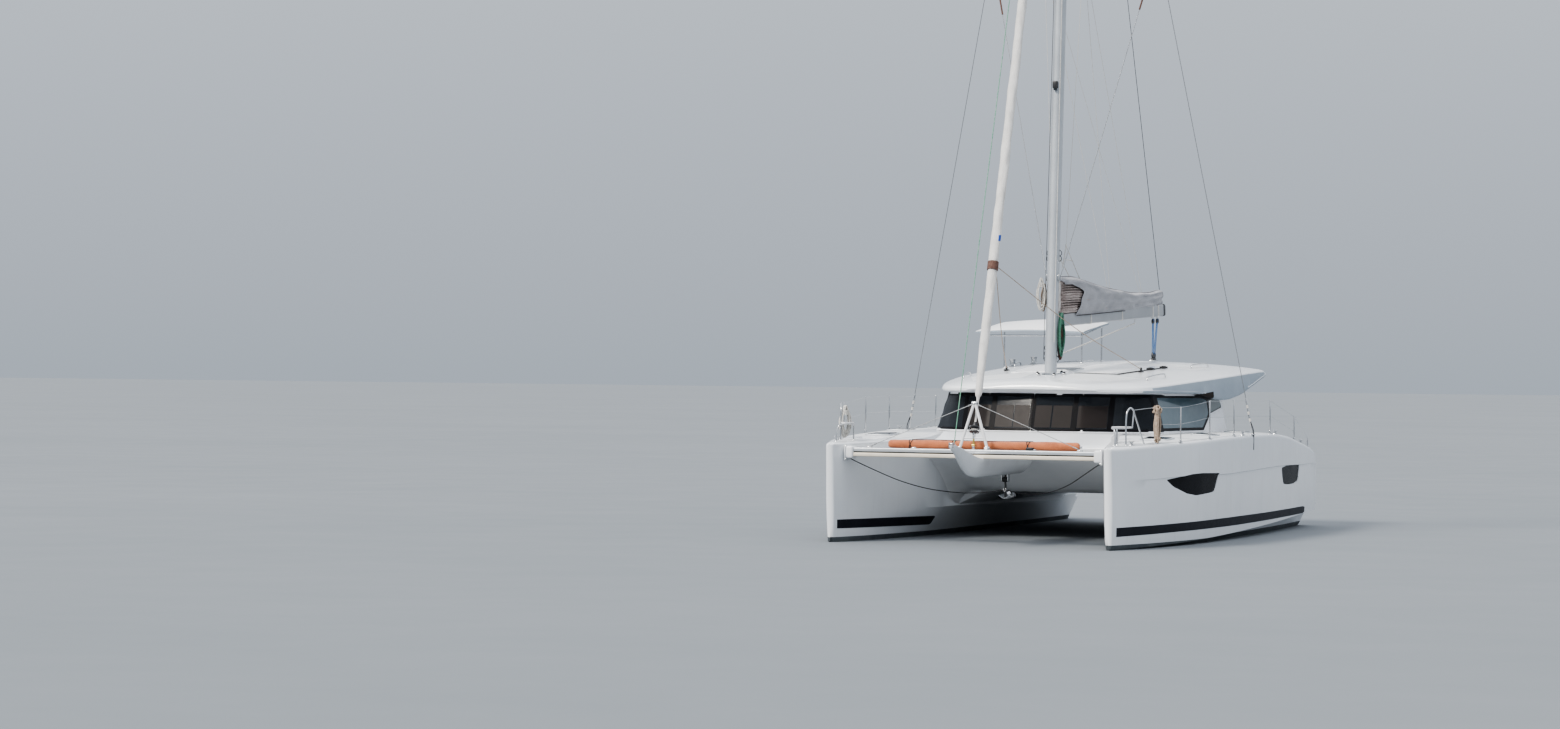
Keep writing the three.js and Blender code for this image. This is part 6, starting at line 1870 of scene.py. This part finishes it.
# Seats: moulded or wooden bases with their cushions, as boxes with a low and a high corner
seats = {
    "saloon_seat": dict(finish="walnut", cloth="seatCloth", base=[
        ((-0.9, 0.85, 0.951), (1.5, 1.43, 1.255)), ((0.95, -0.25, 0.951), (1.5, 0.86, 1.255)),
        ((-0.9, 1.4, 1.24), (1.5, 1.43, 1.7)), ((1.47, -0.25, 1.24), (1.5, 1.41, 1.7))],
        cushions=[((-0.895, 0.845, 1.25), (-0.288, 1.3, 1.372)), ((-0.284, 0.845, 1.25), (0.323, 1.3, 1.372)),
                  ((0.327, 0.845, 1.25), (0.94, 1.3, 1.372)), ((0.944, 0.845, 1.25), (1.38, 1.3, 1.372)),
                  ((0.944, 0.302, 1.25), (1.38, 0.841, 1.372)), ((0.944, -0.245, 1.25), (1.38, 0.298, 1.372)),
                  ((-0.895, 1.295, 1.3), (0.12, 1.405, 1.728)), ((0.124, 1.295, 1.3), (1.36, 1.405, 1.728)),
                  ((1.375, 0.58, 1.3), (1.475, 1.285, 1.728)), ((1.375, -0.245, 1.3), (1.475, 0.576, 1.728))]),
    "cockpit_bench": dict(finish="moulding", cloth="deckCushion", base=[
        ((-4.86, -1.2, 0.951), (-4.35, 1.43, 1.305)), ((-4.36, 0.9, 0.951), (-3.25, 1.43, 1.305)),
        ((-4.86, -1.2, 1.29), (-4.835, 1.43, 1.76))],
        cushions=[((-4.785, -1.195, 1.3), (-4.355, -0.322, 1.381)), ((-4.785, -0.318, 1.3), (-4.355, 0.555, 1.381)),
                  ((-4.785, 0.559, 1.3), (-4.355, 1.425, 1.381)), ((-4.35, 0.905, 1.3), (-3.805, 1.425, 1.381)),
                  ((-3.801, 0.905, 1.3), (-3.255, 1.425, 1.381)),
                  ((-4.838, -1.19, 1.37), (-4.782, 0.11, 1.778)), ((-4.838, 0.114, 1.37), (-4.782, 1.42, 1.778))]),
    "helm_seat": dict(finish="moulding", cloth="deckCushion", base=[
        ((-3.545, -1.96, 1.761), (-3.335, -0.92, 2.115)), ((-3.559, -1.94, 2.1), (-3.535, -0.94, 2.64))],
        cushions=[((-3.53, -1.955, 2.11), (-3.33, -0.925, 2.191)), ((-3.54, -1.95, 2.2), (-3.488, -0.93, 2.661))]),
}


def cushion(low, high, seed):
    # A stuffed box: plump at its edges, a little slack on its broad faces
    random.seed(seed)
    low, high = Vector(low), Vector(high)
    middle, half = (low + high) / 2, (high - low) / 2
    thin = min(range(3), key=lambda i: half[i])
    wide = [i for i in range(3) if i != thin]
    phase = [random.uniform(0, 6.28) for _ in range(3)]

    def easedPower(value, power):
        return copysign(abs(value) ** power, value)

    rows = []
    for v in spaced(-pi / 2 + 0.001, pi / 2 - 0.001, 25):
        ring = []
        for u in turns(56):
            across = easedPower(cos(v), 0.32)
            point = Vector((0, 0, 0))
            p, q = easedPower(cos(u), 0.2) * across, easedPower(sin(u), 0.2) * across
            slack = 0.035 * sin(7 * p + 3 * q + phase[0]) + 0.03 * sin(9 * q - 4 * p + phase[1])
            point[wide[0]], point[wide[1]] = half[wide[0]] * p, half[wide[1]] * q
            point[thin] = half[thin] * easedPower(sin(v), 0.62) * (0.9 + slack + 0.06 * (1 - max(abs(p), abs(q))))
            ring.append(middle + point)
        rows.append(ring)
    return solid(rows)


def makeSeats():
    for name, seat in seats.items():
        base = joined([block(low, high, 0.022, 3) for low, high in seat["base"]])
        finished(base, name + "_base", [name], 35,
                 seat["finish"])
        for k, (low, high) in enumerate(seat["cushions"]):
            piece = finished(cushion(low, high, k), "%s_cushion_%d" % (name, k + 1), smooth=75,
                             finish=seat["cloth"])


interior = {
    "saloonTable": dict(middle=(0.35, 0.38), size=(0.95, 0.7), top=1.59, legs=[(0.35, 0.38)]),
    "cockpitTable": dict(middle=(-3.8, 0.2), size=(0.8, 0.9), top=1.63, legs=[(-3.8, 0.0), (-3.8, 0.4)]),
    "galleyTop": [((-2.3, -1.43), (0.6, -0.85)), ((0.59, -1.43), (1.5, -1.0))], "galleyHeight": 1.85,
    "sinks": (-1.75, -1.3), "lockers": [(0.99, 0.43), (1.435, 0.19), (1.64, 0.175)],  # height, tall
    "pull": [(0.2, -0.845), (0.2, -0.822), (0.355, -0.822), (0.355, -0.845)],
}


def makeTable(name, table):
    x, y = table["middle"]
    top = slab(rounded(oblong(x, y, *table["size"]), 0.09, 6), table["top"] - 0.034, table["top"] - 0.0003, 0.01)
    parts = [painted(top, "walnut")]
    for lx, ly in table["legs"]:
        parts.append(painted(rod((lx, ly, 0.955), (lx, ly, table["top"] - 0.03), 0.045, 0.04, 24), "stainless"))
        parts.append(painted(rod((lx, ly, 0.951), (lx, ly, 0.972), 0.155, 0.145, 32, 0.005), "stainless"))
        parts.append(painted(rod((lx, ly, table["top"] - 0.05), (lx, ly, table["top"] - 0.032), 0.13, 0.15, 28),
                             "stainless"))
    finished(parts, name + "_leaf", [name], 35)


def makeInterior():
    makeTable("saloon_table", interior["saloonTable"])
    makeTable("cockpit_table", interior["cockpitTable"])
    softened("galley", 0.01, "creamPaint")
    parts, height = [], interior["galleyHeight"]
    for (xa, ya), (xb, yb) in interior["galleyTop"]:
        middle = ((xa + xb) / 2, (ya + yb) / 2)
        parts.append(painted(slab(rounded(oblong(*middle, xb - xa, yb - ya), 0.02), height - 0.022, height + 0.006,
                                  0.005), "whitePaint"))
    for k in range(5):
        low = -2.27 + 0.575 * k
        for z, tall in interior["lockers"]:
            parts.append(painted(block((low, -0.852, z), (low + 0.555, -0.842, z + tall), 0.004), "walnut"))
            pull = [(low + along, y, z + tall - 0.05) for along, y in interior["pull"]]
            parts.append(painted(straight(pull, 0.005), "stainless"))
    for x in interior["sinks"]:
        rim = slab(rounded(oblong(x, -1.14, 0.4, 0.36), 0.05), height + 0.004, height + 0.012, 0.002)
        bowl = slab(rounded(oblong(x, -1.14, 0.35, 0.31), 0.05), height + 0.01, height + 0.0135, 0.001)
        parts += [painted(rim, "stainless"), painted(bowl, "darkMetal")]
    parts.append(painted(hose([(-1.52, -1.34, height), (-1.52, -1.34, height + 0.26), (-1.52, -1.24, height + 0.31),
                               (-1.52, -1.16, height + 0.24)], 0.011, 12, 8), "stainless"))
    parts.append(painted(slab(rounded(oblong(-0.35, -1.14, 0.52, 0.46), 0.03), height + 0.005, height + 0.016, 0.003),
                         "screen"))
    finished(parts, "galley_fittings", smooth=35)
    boards = slab([(-2.58, -1.42), (1.5, -1.42), (1.5, 1.42), (-2.58, 1.42)], 0.9503, 0.9535, 0.001)
    finished(boards, "saloon_sole", finish="soleBoards")
    pads = [slab(rounded(oblong(-3.75, -0.68, 2.0, 0.98), 0.06), 0.9503, 0.953, 0.001),
            slab(rounded(oblong(-3.15, 0.55, 0.75, 0.62), 0.06), 0.9503, 0.953, 0.001)]
    finished(pads, "cockpit_sole_pads", finish="deckGrip")
    softened("saloon_bulkhead", 0.006, "lining")
    for name in ("aft_glass_port", "aft_glass_starboard"):
        softened(name, 0.002, "cabinGlass")


door = {"x": (-2.704, -2.666), "y": (0.32, 1.03), "z": (0.98, 2.58), "bar": 0.055}


def makeDoor():
    (xa, xb), (ya, yb), (za, zb), bar = door["x"], door["y"], door["z"], door["bar"]
    leafEdges = [block((xa, ya, za), (xb, ya + bar, zb), 0.006), block((xa, yb - bar, za), (xb, yb, zb), 0.006),
             block((xa, ya, za), (xb, yb, za + bar), 0.006), block((xa, ya, zb - bar), (xb, yb, zb), 0.006)]
    parts = allPainted(leafEdges, "spar")
    parts.append(painted(block((xa + 0.012, ya + 0.03, za + 0.03), (xb - 0.012, yb - 0.03, zb - 0.03), 0.002),
                         "cabinGlass"))
    pull = [(xa - 0.002, ya + 0.028, 1.7), (xa - 0.03, ya + 0.028, 1.72), (xa - 0.03, ya + 0.028, 1.92),
            (xa - 0.002, ya + 0.028, 1.94)]
    parts.append(painted(hose(pull, 0.008, 12, 5), "stainless"))
    finished(parts, "saloon_door_leaf", ["saloon_door"], 35, body="door_body")


helm = {"wheel": (-3.125, -1.44, 2.15), "radius": 0.33, "tube": 0.0145, "spokes": 5, "top": 2.36,
        "screens": [(-1.88, -1.61), (-1.58, -1.31)]}


def makeHelm():
    softened("helm_pod", 0.028, "moulding")
    x, y, z = helm["wheel"]
    ring = [(x, y + helm["radius"] * cos(a), z + helm["radius"] * sin(a)) for a in spaced(0, 2 * pi, 73)]
    parts = [painted(straight(ring, helm["tube"], 14), "rubber")]
    for k in range(helm["spokes"]):
        a = radians(90 + 360 / helm["spokes"] * k)
        line = [(x + 0.03, y + 0.03 * cos(a), z + 0.03 * sin(a)), (x + 0.022, y + 0.16 * cos(a), z + 0.16 * sin(a)),
                (x, y + 0.325 * cos(a), z + 0.325 * sin(a))]
        parts.append(painted(hose(line, 0.0095, 12, 6), "stainless"))
    parts.append(painted(rod((x - 0.012, y, z), (x + 0.07, y, z), 0.042, 0.036, 28, 0.008), "stainless"))
    parts.append(painted(rod((x - 0.02, y, z), (x - 0.01, y, z), 0.03, 0.032, 24, 0.004), "darkMetal"))
    finished(parts, "steering_wheel", ["helm_wheel"], 40, body="steering_wheel_body")
    top = helm["top"]
    console = [painted(block((-2.985, -1.93, top - 0.01), (-2.76, -0.98, top + 0.085), 0.022, 3), "moulding")]
    for low, high in helm["screens"]:
        console.append(painted(block((-2.992, low, top + 0.006), (-2.982, high, top + 0.074), 0.004), "screen"))
    console.append(painted(rod((-2.87, -1.15, top + 0.08), (-2.87, -1.15, top + 0.135), 0.055, 0.045, 28, 0.01),
                         "darkMetal"))
    lever = [(-2.9, -0.9, top), (-2.9, -0.9, top + 0.06), (-2.93, -0.9, top + 0.17)]
    console += [painted(hose(lever, 0.01, 12, 5), "stainless"),
              painted(block((-2.96, -0.945, top - 0.004), (-2.84, -0.855, top + 0.045), 0.015, 3), "darkMetal"),
              painted(rod((-2.93, -0.925, top + 0.17), (-2.93, -0.875, top + 0.17), 0.016, sides=16, bevel=0.005),
                      "rubber")]
    finished(console, "helm_instruments", smooth=40)
    profile = [(0.0, 0.075), (0.02, 0.075), (0.03, 0.056), (0.085, 0.048), (0.12, 0.058), (0.145, 0.066),
               (0.15, 0.05)]
    drums = []
    for wx, wy in roof["winches"]:
        base = roofHeight(wx, wy)
        line = [Vector((wx, wy, base + d)) for d, _ in profile]
        drums.append(painted(solid(ringsAlong(line, [r for _, r in profile], 30)), "stainless"))
    finished(drums, "roof_winches", smooth=40)


propeller = {"x": -3.725, "z": -0.8, "radius": 0.199, "blades": 3}


def foil(rows, middleY):
    # rows: height, leading edge, trailing edge, half thickness
    rings = []
    for z, fore, aft, half in rows:
        ring = []
        for t, way in [(t, 1) for t in spaced(0, 1, 22)] + [(t, -1) for t in spaced(1, 0, 22)[1:-1]]:
            c = (1 - cos(pi * t)) / 2
            thick = half * 10 * (0.2969 * sqrt(c) - 0.126 * c - 0.3516 * c**2 + 0.2843 * c**3 - 0.1015 * c**4)
            ring.append(Vector((fore + (aft - fore) * c, middleY + way * max(thick, 0.002), z)))
        rings.append(ring)
    return solid(rings)


def makeUnderwater():
    for side, way in sides.items():
        y = way * hull["middle"]
        keel = foil([(-1.2, 0.86, -0.81, 0.052), (-1.197, 0.89, -0.842, 0.076), (-1.18, 0.912, -0.85, 0.088),
                     *[(z, 0.9 + 0.55 * (z + 1.2) / 0.75, -0.85 - 0.15 * (z + 1.2) / 0.75, 0.09 + 0.04 * (z + 1.2)
                        / 0.75) for z in spaced(-1.15, -0.45, 5)]], y)
        finished(keel, "keel_moulding_" + side, ["keel_" + side], 40, "antifoul")
        blade = foil([(-1.08, -4.665, -4.955, 0.012), (-1.076, -4.648, -4.966, 0.018), (-1.06, -4.641, -4.971, 0.022),
                      *[(z, -4.64 + 0.07 * (z + 1.08) / 0.7, -4.97 - 0.06 * (z + 1.08) / 0.7,
                         0.022 + 0.016 * (z + 1.08) / 0.7) for z in spaced(-1.03, -0.395, 4)],
                      (-0.384, -4.577, -5.022, 0.034), (-0.38, -4.592, -5.01, 0.026)], y)
        stock = rod((-4.7, y, -0.44), (-4.7, y, -0.13), 0.036, sides=28)
        finished([painted(blade, "antifoul"), painted(stock, "stainless")], "rudder_moulding_" + side,
                 ["rudder_" + side], 40, body="rudder_%s_body" % side)
        softened("saildrive_" + side, 0.012, "antifoul", limit=60)
        softened("engine_" + side, 0.03, "enginePaint")
        y, z = way * hull["middle"], propeller["z"]
        profile = [(0.054, 0.03), (0.05, 0.042), (0.0, 0.045), (-0.03, 0.04), (-0.052, 0.022), (-0.057, 0.008)]
        line = [Vector((propeller["x"] + d, y, z)) for d, _ in profile]
        parts = [solid(ringsAlong(line, [r for _, r in profile], 28))]
        for k in range(propeller["blades"]):
            turn = 2 * pi * k / propeller["blades"] + pi / 2
            out = Vector((0, cos(turn), sin(turn)))
            tangent = Vector((0, -sin(turn), cos(turn)))
            rows = []
            for t in spaced(0, 1, 16):
                r = 0.03 + (propeller["radius"] - 0.03) * t
                chord = 0.03 + 0.062 * sin(pi * min(1, t * 0.8 + 0.12)) if t < 0.97 else 0.022
                pitch = radians(58 - 34 * t)
                along = tangent * cos(pitch) + Vector((way, 0, 0)) * sin(pitch)
                face = along.cross(out).normalized()
                thick = 0.007 * (1 - 0.75 * t)
                rows.append([Vector((propeller["x"], y, z)) + out * r + along * chord * cos(a) * 0.62 + face * thick
                             * sin(a) for a in turns(18)])
            parts.append(solid(rows))
        finished(parts, "propeller_blades_" + side, ["propeller_" + side], 40, "bronze",
                 "propeller_%s_body" % side)


makeSeats()
makeInterior()
makeDoor()
makeHelm()
makeUnderwater()
softened("gooseneck", 0.004, "stainless")
print("seats, helm, cabin fittings and underwater parts")
